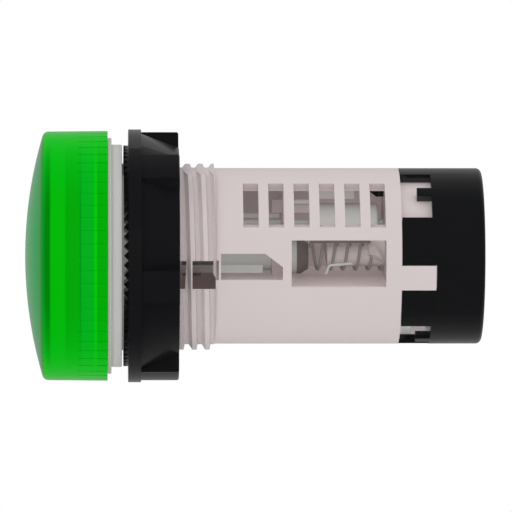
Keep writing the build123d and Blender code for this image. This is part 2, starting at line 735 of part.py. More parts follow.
# Rear cap: wire notches with a tongue in each, slots for the housing's tabs, driver holes
cap_front_x = housing_rim_x + cap_rim_gap
with BuildPart() as rear_cap:
    with BuildSketch(Plane.XZ):
        with BuildLine():
            Polyline((cap_front_x, housing_radius), (cap_end_x, housing_radius),
                     (cap_end_x, 0), (cap_end_x - cap_end_wall, 0),
                     (cap_end_x - cap_end_wall, housing_radius - cap_wall),
                     (cap_front_x, housing_radius - cap_wall), close=True)
        make_face()
        end_corner = vertices().sort_by_distance((cap_end_x, housing_radius))[0]
        fillet(end_corner, radius=cap_corner_radius)
    revolve(axis=Axis.X)
    with BuildSketch(Plane.YZ.offset(cap_front_x)):
        with PolarLocations(0, terminal_count, plane_angle(terminal_angle)):
            Polygon(*sector_points(notch_span / 2), align=None)
    extrude(amount=notch_end_x - cap_front_x, mode=Mode.SUBTRACT)
    with BuildSketch(Plane.YZ.offset(cap_front_x)):
        with PolarLocations(0, terminal_count, plane_angle(tab_angle)):
            Polygon(*sector_points(tab_span / 2 + tab_side_gap), align=None)
    extrude(amount=tab_end_x + tab_gap - cap_front_x, mode=Mode.SUBTRACT)
    with BuildSketch(Plane.YZ.offset(notch_end_x)):
        Circle(housing_radius)
        Circle(housing_radius - cap_wall, mode=Mode.SUBTRACT)
        with PolarLocations(0, terminal_count, plane_angle(terminal_angle)):
            Polygon(*sector_points(tongue_span / 2), align=None, mode=Mode.INTERSECT)
    extrude(amount=-tongue_length)
    with BuildSketch(Plane.YZ.offset(cap_end_x)):
        with PolarLocations(terminal_radius, terminal_count, plane_angle(terminal_angle)):
            Circle(driver_hole_radius)
    extrude(amount=-cap_end_wall, mode=Mode.SUBTRACT)
rear_cap.part.label = "rear_cap"
export_step(rear_cap.part, "parts/rear_cap.step")
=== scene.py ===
# %% [markdown]
# A panel pilot light: a green lens cap, a gasket, a toothed lock washer and ring nut on a
# threaded barrel, a slotted ivory housing with a contact spring behind its window, and a
# black rear cap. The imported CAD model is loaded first, and it fixes every place and size.
# The CAD meshes are loose and coarse, so the large round parts are remade here as fine
# meshes from the same boxes, and the small parts keep their CAD shape and get a finish.

# %% The frame
import json
import math

import bmesh
import bpy
from mathutils import Matrix, Vector

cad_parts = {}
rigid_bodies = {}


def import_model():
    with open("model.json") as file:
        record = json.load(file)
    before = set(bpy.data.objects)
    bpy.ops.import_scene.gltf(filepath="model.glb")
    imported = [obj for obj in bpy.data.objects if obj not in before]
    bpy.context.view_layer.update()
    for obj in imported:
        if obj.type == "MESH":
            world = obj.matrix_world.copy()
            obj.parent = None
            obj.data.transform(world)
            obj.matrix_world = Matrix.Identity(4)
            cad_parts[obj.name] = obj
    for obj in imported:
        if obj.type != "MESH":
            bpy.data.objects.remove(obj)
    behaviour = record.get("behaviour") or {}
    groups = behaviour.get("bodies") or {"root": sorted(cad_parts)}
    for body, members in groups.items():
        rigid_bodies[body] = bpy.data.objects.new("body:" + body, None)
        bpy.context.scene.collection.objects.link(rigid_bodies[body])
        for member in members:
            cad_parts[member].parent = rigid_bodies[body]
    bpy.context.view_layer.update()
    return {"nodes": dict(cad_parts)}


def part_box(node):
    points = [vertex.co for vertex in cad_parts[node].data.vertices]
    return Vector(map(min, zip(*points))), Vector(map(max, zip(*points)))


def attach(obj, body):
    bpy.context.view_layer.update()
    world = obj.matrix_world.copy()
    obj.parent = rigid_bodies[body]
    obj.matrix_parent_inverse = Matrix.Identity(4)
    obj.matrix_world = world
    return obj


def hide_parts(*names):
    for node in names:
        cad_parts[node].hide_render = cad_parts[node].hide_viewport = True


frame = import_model()
mm = 0.001


def axis_span(node):
    """Where a node starts and ends along the light's axis, in millimetres."""
    low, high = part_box(node)
    return low.x / mm, high.x / mm


def outer_radius(node):
    """A round node's radius about the light's axis, in millimetres."""
    low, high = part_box(node)
    return max(high.z, -low.z, high.y, -low.y) / mm


# %% [markdown]
# The camera stands far away, as for a catalogue picture, so the light looks almost
# undistorted. It is a degree and a half to the lens side, which shows as the slight curve
# of each rim. A long lens and a large distance are better here than an orthographic camera,
# because the curve of the rims would then be lost.

# %% Camera
sight_angle = math.radians(1.54)
sight_distance = 708 * mm
sight_centre = Vector((15.6, 0, -0.02)) * mm
pixels_per_radian = 6092
image_width = 512

camera_data = bpy.data.cameras.new("catalogue_camera")
camera_data.sensor_width = 36
camera_data.lens = camera_data.sensor_width * pixels_per_radian / image_width
camera_data.clip_start = 0.01
camera = bpy.data.objects.new("catalogue_camera", camera_data)
bpy.context.scene.collection.objects.link(camera)
back_off = Vector((-math.sin(sight_angle), -math.cos(sight_angle), 0)) * sight_distance
camera.location = sight_centre + back_off
camera.rotation_euler = (math.pi / 2, 0, -sight_angle)
bpy.context.scene.camera = camera
print("lens", round(camera_data.lens), "mm")

# %% [markdown]
# The photograph was taken in a white tent: every matt surface gets the same light from all
# round, and only the camera's side is dark, which shows in what glossy surfaces mirror. The
# black parts are darkest where they face the camera and lighten towards each silhouette. So
# the world is plain white for matt surfaces and for the eye, and for mirrored rays it fades
# from dark on the camera's side to two fifths of white behind the light. Lamps could do it
# too, but each of them would leave a highlight of its own on the lens and the nut.

# %% Light
world = bpy.data.worlds.new("white_tent")
bpy.context.scene.world = world
world.use_nodes = True
nodes = world.node_tree.nodes
links = world.node_tree.links
background = nodes["Background"]
background.inputs["Color"].default_value = (1, 1, 1, 1)
direction = nodes.new("ShaderNodeTexCoord")
parts = nodes.new("ShaderNodeSeparateXYZ")
links.new(direction.outputs["Generated"], parts.inputs[0])
dark_side_end, mirrored_white = -0.17, 0.39
mirrored = nodes.new("ShaderNodeMapRange")
mirrored.inputs["From Min"].default_value = dark_side_end
mirrored.inputs["To Max"].default_value = mirrored_white
links.new(parts.outputs["Y"], mirrored.inputs["Value"])
light_path = nodes.new("ShaderNodeLightPath")
strength = nodes.new("ShaderNodeMix")
strength.inputs[2].default_value = 1.0
links.new(light_path.outputs["Is Glossy Ray"], strength.inputs["Factor"])
links.new(mirrored.outputs["Result"], strength.inputs[3])
links.new(strength.outputs[0], background.inputs["Strength"])
bpy.context.scene.view_settings.view_transform = "Standard"
print("mirrored rays see up to", mirrored_white, "of white")

# %% [markdown]
# The light is held by its panel and doesn't stand on anything, so the pale floor lies well
# below it. It is small enough to stay out of the picture, and it takes the soft shadow.

# %% Floor
floor_z = -0.055
floor_left, floor_right = -0.25, 0.28
floor_near, floor_far = -0.3, 0.32
floor_mesh = bpy.data.meshes.new("floor")
floor_mesh.from_pydata([(floor_left, floor_near, floor_z), (floor_right, floor_near, floor_z),
                        (floor_right, floor_far, floor_z), (floor_left, floor_far, floor_z)],
                       [], [(0, 1, 2, 3)])
floor = bpy.data.objects.new("floor", floor_mesh)
bpy.context.scene.collection.objects.link(floor)
floor.visible_glossy = False
print("floor", round(floor_right - floor_left, 2), "by", round(floor_far - floor_near, 2), "m")

# %% [markdown]
# The floor is matt white paper without a sheen. A plain white would do, but a faint drift of
# its fibres keeps the shadow on it from looking flat.

# %% White paper
def new_surface(name):
    """A new material with its nodes, its links and its Principled shader."""
    material = bpy.data.materials.new(name)
    material.use_nodes = True
    nodes = material.node_tree.nodes
    return material, nodes, material.node_tree.links, nodes["Principled BSDF"]


fibre_scale, paper_dark, paper_light = 400, 0.94, 0.98
paper, paper_nodes, paper_links, sheet_shader = new_surface("white_paper")
sheet_shader.inputs["Roughness"].default_value = 0.9
sheet_shader.inputs["Specular IOR Level"].default_value = 0.0
fibre = paper_nodes.new("ShaderNodeTexNoise")
fibre.inputs["Scale"].default_value = fibre_scale
tint = paper_nodes.new("ShaderNodeMapRange")
tint.inputs["To Min"].default_value = paper_dark
tint.inputs["To Max"].default_value = paper_light
place = paper_nodes.new("ShaderNodeTexCoord")
paper_links.new(place.outputs["Object"], fibre.inputs["Vector"])
paper_links.new(fibre.outputs["Fac"], tint.inputs["Value"])
paper_links.new(tint.outputs["Result"], sheet_shader.inputs["Base Color"])
floor.data.materials.append(paper)
print("paper between", paper_dark, "and", paper_light)

# %% [markdown]
# Moulded plastic is never quite even: the surface has a very fine spark-eroded grain and a
# slow drift of gloss. One shader node group makes both from Object coordinates, and each
# material places it with its own scale and strength. A noise in every material would look the
# same, but would have to be changed in a dozen places.

# %% Grain shared by the moulded and drawn surfaces
def group_socket(tree, name, kind, out=False, value=None):
    """Adds a socket to a node group's interface, with a starting value."""
    side = "OUTPUT" if out else "INPUT"
    socket = tree.interface.new_socket(name=name, in_out=side, socket_type=kind)
    if value is not None:
        socket.default_value = value
    return socket


def make_grain_group():
    """Colour, roughness and normal of a surface with fine grain and a slow drift."""
    tree = bpy.data.node_groups.new("moulded_grain", "ShaderNodeTree")
    group_socket(tree, "Color", "NodeSocketColor", value=(0.8, 0.8, 0.8, 1))
    group_socket(tree, "Drift", "NodeSocketFloat", value=0.03)
    group_socket(tree, "Roughness", "NodeSocketFloat", value=0.4)
    group_socket(tree, "Grain Scale", "NodeSocketFloat", value=3000)
    group_socket(tree, "Grain Depth", "NodeSocketFloat", value=0.05)
    group_socket(tree, "Color", "NodeSocketColor", out=True)
    group_socket(tree, "Roughness", "NodeSocketFloat", out=True)
    group_socket(tree, "Normal", "NodeSocketVector", out=True)
    nodes, links = tree.nodes, tree.links
    start = nodes.new("NodeGroupInput")
    end = nodes.new("NodeGroupOutput")
    place = nodes.new("ShaderNodeTexCoord")
    slow = nodes.new("ShaderNodeTexNoise")
    slow.inputs["Scale"].default_value = 120
    slow.inputs["Detail"].default_value = 3
    fine = nodes.new("ShaderNodeTexNoise")
    fine.inputs["Detail"].default_value = 2
    links.new(place.outputs["Object"], slow.inputs["Vector"])
    links.new(place.outputs["Object"], fine.inputs["Vector"])
    links.new(start.outputs["Grain Scale"], fine.inputs["Scale"])
    shade = nodes.new("ShaderNodeMix")
    shade.data_type = "RGBA"
    shade.blend_type = "MULTIPLY"
    level = nodes.new("ShaderNodeMapRange")
    level.inputs["To Min"].default_value = 0.6
    level.inputs["To Max"].default_value = 1.4
    links.new(slow.outputs["Fac"], level.inputs["Value"])
    links.new(start.outputs["Drift"], shade.inputs["Factor"])
    links.new(start.outputs["Color"], shade.inputs[6])
    links.new(level.outputs["Result"], shade.inputs[7])
    rough = nodes.new("ShaderNodeMath")
    rough.operation = "MULTIPLY_ADD"
    centred = nodes.new("ShaderNodeMath")
    centred.operation = "SUBTRACT"
    centred.inputs[1].default_value = 0.5
    links.new(slow.outputs["Fac"], centred.inputs[0])
    links.new(centred.outputs[0], rough.inputs[0])
    rough.inputs[1].default_value = 0.2
    links.new(start.outputs["Roughness"], rough.inputs[2])
    bump = nodes.new("ShaderNodeBump")
    bump.inputs["Distance"].default_value = 0.00002
    links.new(fine.outputs["Fac"], bump.inputs["Height"])
    links.new(start.outputs["Grain Depth"], bump.inputs["Strength"])
    links.new(shade.outputs[2], end.inputs["Color"])
    links.new(rough.outputs[0], end.inputs["Roughness"])
    links.new(bump.outputs["Normal"], end.inputs["Normal"])
    return tree


grain_group = make_grain_group()
print("group:", grain_group.name)

# %% [markdown]
# The housing's side walls are thin and let light through, so the pieces inside look brighter
# than its windows alone would make them. A second group gives the inner faces a weak glow:
# only within a radius, only behind the lamp's room, and most where a face is turned to a
# side. Walls that really let light through would do it too, but would need far more samples.

# %% Light through the walls
def make_glow_group():
    """What shines through the thin side walls: a glow inside a radius, behind the lamp's room,
    strongest on faces turned to a side. Evenness is the share that other faces get."""
    tree = bpy.data.node_groups.new("light_through_walls", "ShaderNodeTree")
    group_socket(tree, "Glow", "NodeSocketColor", value=(0.1, 0.1, 0.1, 1))
    group_socket(tree, "Inner Radius", "NodeSocketFloat", value=0.0094)
    group_socket(tree, "Front", "NodeSocketFloat", value=0.0110)
    group_socket(tree, "Evenness", "NodeSocketFloat", value=0.1)
    group_socket(tree, "Color", "NodeSocketColor", out=True)
    nodes, links = tree.nodes, tree.links
    start = nodes.new("NodeGroupInput")
    end = nodes.new("NodeGroupOutput")
    place = nodes.new("ShaderNodeTexCoord")
    flat = nodes.new("ShaderNodeVectorMath")
    flat.operation = "MULTIPLY"
    flat.inputs[1].default_value = (0, 1, 1)
    length = nodes.new("ShaderNodeVectorMath")
    length.operation = "LENGTH"
    inside = nodes.new("ShaderNodeMath")
    inside.operation = "LESS_THAN"
    along = nodes.new("ShaderNodeSeparateXYZ")
    behind = nodes.new("ShaderNodeMath")
    behind.operation = "GREATER_THAN"
    both = nodes.new("ShaderNodeMath")
    both.operation = "MULTIPLY"
    surface = nodes.new("ShaderNodeNewGeometry")
    turned = nodes.new("ShaderNodeSeparateXYZ")
    sideways = nodes.new("ShaderNodeMath")
    sideways.operation = "ABSOLUTE"
    facing = nodes.new("ShaderNodeMapRange")
    share = nodes.new("ShaderNodeMath")
    share.operation = "MULTIPLY"
    shade = nodes.new("ShaderNodeMix")
    shade.data_type = "RGBA"
    shade.inputs[6].default_value = (0, 0, 0, 1)
    links.new(surface.outputs["Normal"], turned.inputs[0])
    links.new(turned.outputs["Y"], sideways.inputs[0])
    links.new(sideways.outputs[0], facing.inputs["Value"])
    links.new(start.outputs["Evenness"], facing.inputs["To Min"])
    links.new(both.outputs[0], share.inputs[0])
    links.new(facing.outputs["Result"], share.inputs[1])
    links.new(place.outputs["Object"], along.inputs[0])
    links.new(along.outputs["X"], behind.inputs[0])
    links.new(start.outputs["Front"], behind.inputs[1])
    links.new(place.outputs["Object"], flat.inputs[0])
    links.new(flat.outputs["Vector"], length.inputs[0])
    links.new(length.outputs["Value"], inside.inputs[0])
    links.new(start.outputs["Inner Radius"], inside.inputs[1])
    links.new(inside.outputs[0], both.inputs[0])
    links.new(behind.outputs[0], both.inputs[1])
    links.new(share.outputs[0], shade.inputs["Factor"])
    links.new(start.outputs["Glow"], shade.inputs[7])
    links.new(shade.outputs[2], end.inputs["Color"])
    return tree


glow_group = make_glow_group()
print("group:", glow_group.name)

# %% [markdown]
# The mouldings are ivory with a pink cast and satin black, the gasket is soft grey, and the
# resistor has a dull cement coating. They differ only in colour, gloss, grain and a glow that
# is painted light, for what the thin walls let through. So one function places the two
# groups in a material, and each finish is then one line, which is easy to hold against the
# real piece.

# %% Finishes of the mouldings
def grained_material(name, color, roughness, drift=0.03, scale=3000, depth=0.1, glow=None,
                     evenness=0.1, **fixed):
    """A Principled surface fed by the grain group; fixed values go on the shader itself."""
    material, nodes, links, shader = new_surface(name)
    grain = nodes.new("ShaderNodeGroup")
    grain.node_tree = grain_group
    grain.inputs["Color"].default_value = (*color, 1)
    grain.inputs["Drift"].default_value = drift
    grain.inputs["Roughness"].default_value = roughness
    grain.inputs["Grain Scale"].default_value = scale
    grain.inputs["Grain Depth"].default_value = depth
    links.new(grain.outputs["Color"], shader.inputs["Base Color"])
    links.new(grain.outputs["Roughness"], shader.inputs["Roughness"])
    links.new(grain.outputs["Normal"], shader.inputs["Normal"])
    # The glow is painted light: an emission for the light that the thin walls let through
    if glow:
        light = nodes.new("ShaderNodeGroup")
        light.node_tree = glow_group
        light.inputs["Glow"].default_value = (*glow, 1)
        light.inputs["Evenness"].default_value = evenness
        links.new(light.outputs["Color"], shader.inputs["Emission Color"])
        shader.inputs["Emission Strength"].default_value = 1.0
    for socket, value in fixed.items():
        shader.inputs[socket.replace("_", " ")].default_value = value
    return material


ivory_tint = (0.695, 0.615, 0.615)
ivory = grained_material("moulded_ivory", ivory_tint, 0.42, glow=(0.066, 0.058, 0.058),
                         evenness=0.7)
# The floors inside: the same ivory with a stronger and more even painted glow, as the most lit
# faces
ivory_floor = grained_material("ivory_floor", ivory_tint, 0.42, glow=(0.125, 0.105, 0.103),
                               evenness=0.9)
# The carrier: ivory drawn darker, with a stronger painted glow for its light inside the body
ivory_carrier = grained_material("ivory_carrier", (0.56, 0.49, 0.49), 0.42,
                                 glow=(0.17, 0.155, 0.152))
black = grained_material("moulded_black", (0.0088, 0.0091, 0.0103), 0.24, drift=0.1)
gasket_rubber = grained_material("grey_gasket", (0.80, 0.80, 0.79), 0.7, depth=0.25)
flange_beige = grained_material("flange_beige", (0.69, 0.71, 0.62), 0.5)
# The resistor's painted glow falls only on faces turned to a side, which paints its shading
ceramic_grey = grained_material("grey_resistor", (0.35, 0.37, 0.36), 0.6, depth=0.2,
                                glow=(0.32, 0.315, 0.305), evenness=0)
print("finishes so far:", len(bpy.data.materials))

# %% [markdown]
# The metals inside are tinned, plated or drawn. They are seen through small windows in a
# white moulding, which they would mirror as plain grey. So their metal share is low and that
# mirrored grey is painted into their colour, which stays the same from every side. Each also
# gets the painted glow of the light through the walls.

# %% Finishes of the metals and the neck
tinned = grained_material("tinned_wire", (0.70, 0.70, 0.68), 0.3, Metallic=0.2,
                          glow=(0.14, 0.15, 0.145))
plated = grained_material("plated_metal", (0.68, 0.68, 0.66), 0.35, Metallic=0.2,
                          glow=(0.17, 0.19, 0.185))
strip_metal = grained_material("inner_strip", (0.5, 0.52, 0.5), 0.4, Metallic=0.2,
                               glow=(0.16, 0.155, 0.152))
# The spring's painted glow falls only on faces turned to a side: a painted highlight along the
# wire
spring_wire = grained_material("spring_wire", (0.26, 0.26, 0.23), 0.3, Metallic=0.5,
                               glow=(0.12, 0.11, 0.10), evenness=0)
# The stem and plunger get their painted glow only on faces turned to a side as well
dull_metal = grained_material("dull_metal", (0.30, 0.31, 0.30), 0.45, Metallic=0.2,
                              glow=(0.22, 0.215, 0.205), evenness=0)
olive_metal = grained_material("olive_metal", (0.16, 0.145, 0.13), 0.45, Metallic=0.2,
                               glow=(0.035, 0.032, 0.028))
rail_metal = grained_material("dark_rail", (0.24, 0.21, 0.20), 0.45, Metallic=0.2,
                              glow=(0.03, 0.027, 0.025))
# The neck lies outside the glow group's radius, so its own weak glow goes on the shader:
# painted light for what it catches between gasket and washer
neck_ivory = grained_material("neck_ivory", (0.66, 0.6, 0.6), 0.5,
                              Emission_Color=(0.10, 0.11, 0.095, 1), Emission_Strength=1.0)
print("finishes so far:", len(bpy.data.materials))

# %% [markdown]
# The lens is dyed so strongly that no red or blue comes back from it. What stands behind its
# wall still shows as bands of light and shade along the axis: the hollow crown is dark, the
# skirt is bright where the wall is thin, and the collar and its lugs dim it again. Clear
# plastic with all of that behind it would be noisy, so this light and shade is painted: the
# bands are a ramp along the object's own X, which stays right when the lens turns.

# %% Bands of the green lens
lens_span = axis_span("lens_cap")
# Place along the axis in millimetres, then how much green and blue comes back
lens_painted_light_bands = [(-11.2, 0.37, 0.08), (-9.45, 0.31, 0.05), (-9.2, 0.225, 0.012),
              (-8.3, 0.23, 0.002), (-8.15, 0.50, 0.001), (-6.6, 0.51, 0.001),
              (-6.4, 0.40, 0.001), (-4.9, 0.42, 0.001), (-4.78, 0.30, 0.006),
              (-4.6, 0.44, 0.014), (-3.3, 0.45, 0.012), (-3.1, 0.60, 0.001),
              (-2.9, 0.59, 0.001), (-2.8, 0.41, 0.001), (-1.7, 0.43, 0.001)]
green, green_nodes, green_links, lens_shader = new_surface("clear_green")
lens_shader.inputs["Roughness"].default_value = 0.14
lens_shader.inputs["IOR"].default_value = 1.2
lens_place = green_nodes.new("ShaderNodeTexCoord")
lens_parts = green_nodes.new("ShaderNodeSeparateXYZ")
along = green_nodes.new("ShaderNodeMapRange")
along.inputs["From Min"].default_value = lens_span[0] * mm
along.inputs["From Max"].default_value = lens_span[1] * mm
bands = green_nodes.new("ShaderNodeValToRGB")
for number, (x, green_part, blue_part) in enumerate(lens_painted_light_bands):
    place = (x - lens_span[0]) / (lens_span[1] - lens_span[0])
    if 0 < number < len(lens_painted_light_bands) - 1:
        element = bands.color_ramp.elements.new(place)
    else:
        element = bands.color_ramp.elements[0 if number == 0 else -1]
        element.position = place
    element.color = (0, green_part, blue_part, 1)
print("bands on the lens:", len(lens_painted_light_bands))

# %% [markdown]
# Towards the lens's silhouette the way through the plastic is longer, and the bands run
# together into one green. A Layer Weight node gives the facing angle, and it fades the painted
# bands into that green on the skirt. The crown is left out, because its edge is a dark line.

# %% The lens towards its silhouette
fade_start, fade_end = 0.08, 0.6
skirt_start, skirt_full = -9.2, -8.9
silhouette_green = (0, 0.54, 0.008, 1)
facing = green_nodes.new("ShaderNodeLayerWeight")
facing.inputs["Blend"].default_value = 0.5
edge = green_nodes.new("ShaderNodeMapRange")
edge.inputs["From Min"].default_value = fade_start
edge.inputs["From Max"].default_value = fade_end
on_skirt = green_nodes.new("ShaderNodeMapRange")
on_skirt.inputs["From Min"].default_value = skirt_start * mm
on_skirt.inputs["From Max"].default_value = skirt_full * mm
both = green_nodes.new("ShaderNodeMath")
both.operation = "MULTIPLY"
evened = green_nodes.new("ShaderNodeMix")
evened.data_type = "RGBA"
evened.inputs[7].default_value = silhouette_green
green_links.new(lens_place.outputs["Object"], lens_parts.inputs[0])
green_links.new(lens_parts.outputs["X"], along.inputs["Value"])
green_links.new(along.outputs["Result"], bands.inputs["Fac"])
green_links.new(facing.outputs["Facing"], edge.inputs["Value"])
green_links.new(lens_parts.outputs["X"], on_skirt.inputs["Value"])
green_links.new(edge.outputs["Result"], both.inputs[0])
green_links.new(on_skirt.outputs["Result"], both.inputs[1])
green_links.new(both.outputs[0], evened.inputs["Factor"])
green_links.new(bands.outputs["Color"], evened.inputs[6])
green_links.new(evened.outputs[2], lens_shader.inputs["Base Color"])
print("lens nodes:", len(green_nodes))

# %% [markdown]
# The lamp's bulb is thin clear glass. A shader that lets most light through is enough, as it
# is seen only when the lens is off.

# %% Lamp glass
glass, _, _, glass_shader = new_surface("lamp_glass")
glass_shader.inputs["Base Color"].default_value = (0.95, 1, 0.97, 1)
glass_shader.inputs["Roughness"].default_value = 0.05
glass_shader.inputs["Transmission Weight"].default_value = 0.9
print("finishes in all:", len(bpy.data.materials))

# %% [markdown]
# Everything large on this object is round about one axis, so one lathe function makes the
# blanks: it turns a closed outline of (place along the axis, radius) points about X. Spin in
# Blender would do it too, but rings of points set one by one leave no seam to merge.

# %% Lathe
def link_mesh(name, points, faces):
    """A new mesh object from points in millimetres."""
    mesh = bpy.data.meshes.new(name)
    mesh.from_pydata([Vector(p) * mm for p in points], [], faces)
    obj = bpy.data.objects.new(name, mesh)
    bpy.context.scene.collection.objects.link(obj)
    return obj


def face_outwards(obj):
    """Merges doubles and turns every face outwards."""
    shape = bmesh.new()
    shape.from_mesh(obj.data)
    bmesh.ops.remove_doubles(shape, verts=shape.verts, dist=1e-8)
    bmesh.ops.recalc_face_normals(shape, faces=shape.faces)
    shape.to_mesh(obj.data)
    shape.free()
    return obj


def lathe(name, outline, segments=288):
    """Turns a closed outline of (x, radius) about the X axis. Radius 0 is a pole."""
    points, rings = [], []
    for x, radius in outline:
        if radius < 1e-6:
            rings.append([len(points)] * segments)
            points.append((x, 0, 0))
            continue
        rings.append([len(points) + i for i in range(segments)])
        for i in range(segments):
            turn = 2 * math.pi * i / segments
            points.append((x, radius * math.cos(turn), radius * math.sin(turn)))
    faces = []
    for ring, following in zip(rings, rings[1:] + rings[:1]):
        for i in range(segments):
            j = (i + 1) % segments
            corners = [ring[i], ring[j], following[j], following[i]]
            corners = [c for n, c in enumerate(corners) if c != corners[n - 1]]
            if len(corners) > 2:
                faces.append(corners)
    return face_outwards(link_mesh(name, points, faces))


def arc(centre, radius, start, end, steps=6):
    """Points of an arc in the (x, radius) plane, angles in degrees."""
    turns = [math.radians(start + (end - start) * i / steps) for i in range(steps + 1)]
    return [(centre[0] + radius * math.cos(t), centre[1] + radius * math.sin(t)) for t in turns]


def ring(name, start, end, inner, outer):
    """A plain ring about the axis."""
    return lathe(name, [(start, inner), (start, outer), (end, outer), (end, inner)])


# %% [markdown]
# Slots, windows, notches and grooves are open spaces, and the easiest way to one is a solid
# of its shape that is cut out of the blank. All of them are straight outlines carried along
# one axis, so one prism function draws them, and a wedge is a prism that starts at the axis.

# %% Straight cutters
past_all = 20.0


def prism(name, outline, plane, start, end):
    """A straight cutter: an outline in the 'yz' or 'xz' plane, carried along the third axis."""
    count = len(outline)
    if plane == "yz":
        points = [(start, y, z) for y, z in outline] + [(end, y, z) for y, z in outline]
    else:
        points = [(x, start, z) for x, z in outline] + [(x, end, z) for x, z in outline]
    faces = [list(range(count)), list(range(count, 2 * count))]
    faces += [[i, (i + 1) % count, count + (i + 1) % count, count + i] for i in range(count)]
    return face_outwards(link_mesh(name, points, faces))


def wedge(name, half_span, start, end, reach=past_all, middle=0.0):
    """A wedge from the axis towards plus Y, turned by middle degrees."""
    sides = [math.radians(middle + s * half_span) for s in (-1, 1)]
    corners = [(reach * math.cos(a), reach * math.sin(a)) for a in sides]
    return prism(name, [(0, 0)] + corners, "yz", start, end)


def oblong(left, right, low, high):
    """The corners of a rectangle."""
    return [(left, low), (right, low), (right, high), (left, high)]


print("cutters reach", past_all, "mm from the axis")

# %% [markdown]
# A piece is cut with Boolean modifiers, and its edges get a small bevel, because a moulded or
# turned edge is never quite sharp and its highlight is what shows the edge. Each modifier is
# turned into a plain mesh at once, so that the next step starts from clean geometry. Pieces
# that only touch are gathered into one mesh uncut, which keeps their faces as drawn.

# %% Cutting, softening and dressing
def settle(obj):
    """Bakes an object's modifiers into a plain mesh."""
    baked = bpy.data.meshes.new_from_object(
        obj.evaluated_get(bpy.context.evaluated_depsgraph_get()))
    obj.modifiers.clear()
    obj.data = baked
    return obj


def carve(obj, tools, operation="DIFFERENCE"):
    """Cuts tools out of an object, or joins them to it, and throws the tools away."""
    for tool in tools:
        step = obj.modifiers.new("carve", "BOOLEAN")
        step.operation = operation
        step.solver = "EXACT"
        step.object = tool
    settle(obj)
    for tool in tools:
        bpy.data.objects.remove(tool)
    return obj


def soften(obj, width, angle=32, segments=2):
    """Rounds the sharp edges slightly, as a mould does, and shades the rest smooth."""
    if width:
        step = obj.modifiers.new("soften", "BEVEL")
        step.width = width * mm
        step.segments = segments
        step.limit_method = "ANGLE"
        step.angle_limit = math.radians(angle)
        settle(obj)
    obj.data.shade_smooth()
    obj.data.set_sharp_from_angle(angle=math.radians(angle))
    return obj


def gather(name, pieces):
    """Puts several closed pieces into one mesh without cutting them against each other."""
    whole = bmesh.new()
    for piece in pieces:
        whole.from_mesh(piece.data)
        bpy.data.objects.remove(piece)
    mesh = bpy.data.meshes.new(name)
    whole.to_mesh(mesh)
    whole.free()
    obj = bpy.data.objects.new(name, mesh)
    bpy.context.scene.collection.objects.link(obj)
    return obj


def dress(obj, material, node, body, extra=False):
    """Gives a piece its finish, its body, and the CAD node that it stands for."""
    obj.data.materials.clear()
    obj.data.materials.append(material)
    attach(obj, body)
    if not extra:
        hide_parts(node)
    print(obj.name, len(obj.data.polygons), "faces")
    return obj


# %% [markdown]
# Three things repeat or follow a path here: features stand round the axis again and again
# (grip grooves, washer teeth, scallops, notches), two helices run along it (the thread and the
# spring), and a wire is bent. Each gets a Geometry Nodes tree, because a count, a pitch or a
# start angle can then be changed in one place. These helpers start, end and run any tree.

# %% Helpers for Geometry Nodes
def new_geometry_tree(name, sockets):
    """A geometry tree with named inputs; returns the tree, its input and its output node."""
    tree = bpy.data.node_groups.new(name, "GeometryNodeTree")
    tree.interface.new_socket(name="Geometry", in_out="INPUT", socket_type="NodeSocketGeometry")
    tree.interface.new_socket(name="Geometry", in_out="OUTPUT",
                              socket_type="NodeSocketGeometry")
    for socket_name, kind, value in sockets:
        socket = tree.interface.new_socket(name=socket_name, in_out="INPUT", socket_type=kind)
        if value is not None:
            socket.default_value = value
    return tree, tree.nodes.new("NodeGroupInput"), tree.nodes.new("NodeGroupOutput")


def finish_tree(tree, geometry, start, end):
    """Ends a tree with Realize Instances and Set Material."""
    real = tree.nodes.new("GeometryNodeRealizeInstances")
    paint = tree.nodes.new("GeometryNodeSetMaterial")
    tree.links.new(geometry, real.inputs["Geometry"])
    tree.links.new(real.outputs["Geometry"], paint.inputs["Geometry"])
    tree.links.new(start.outputs["Material"], paint.inputs["Material"])
    tree.links.new(paint.outputs["Geometry"], end.inputs["Geometry"])
    return tree


def tree_math(tree, operation, *values):
    """A Math node with sockets or plain numbers on its inputs; returns its output."""
    node = tree.nodes.new("ShaderNodeMath")
    node.operation = operation
    for slot_index, value in enumerate(values):
        if isinstance(value, (int, float)):
            node.inputs[slot_index].default_value = value
        else:
            tree.links.new(value, node.inputs[slot_index])
    return node.outputs[0]


def grow(obj, tree, **values):
    """Runs a tree on an object's mesh, with inputs by name, and keeps the plain result."""
    step = obj.modifiers.new(tree.name, "NODES")
    step.node_group = tree
    for item in tree.interface.items_tree:
        key = item.name.replace(" ", "_")
        if item.in_out == "INPUT" and key in values:
            step[item.identifier] = values[key]
    return face_outwards(settle(obj))


# %% [markdown]
# Grooves, teeth, scallops, lugs and notches stand evenly round the axis. This tree puts one
# drawn feature on as many points as there are copies, each turned on by the same step. An
# Array modifier would need a helper object for the turn; the tree needs only a count.

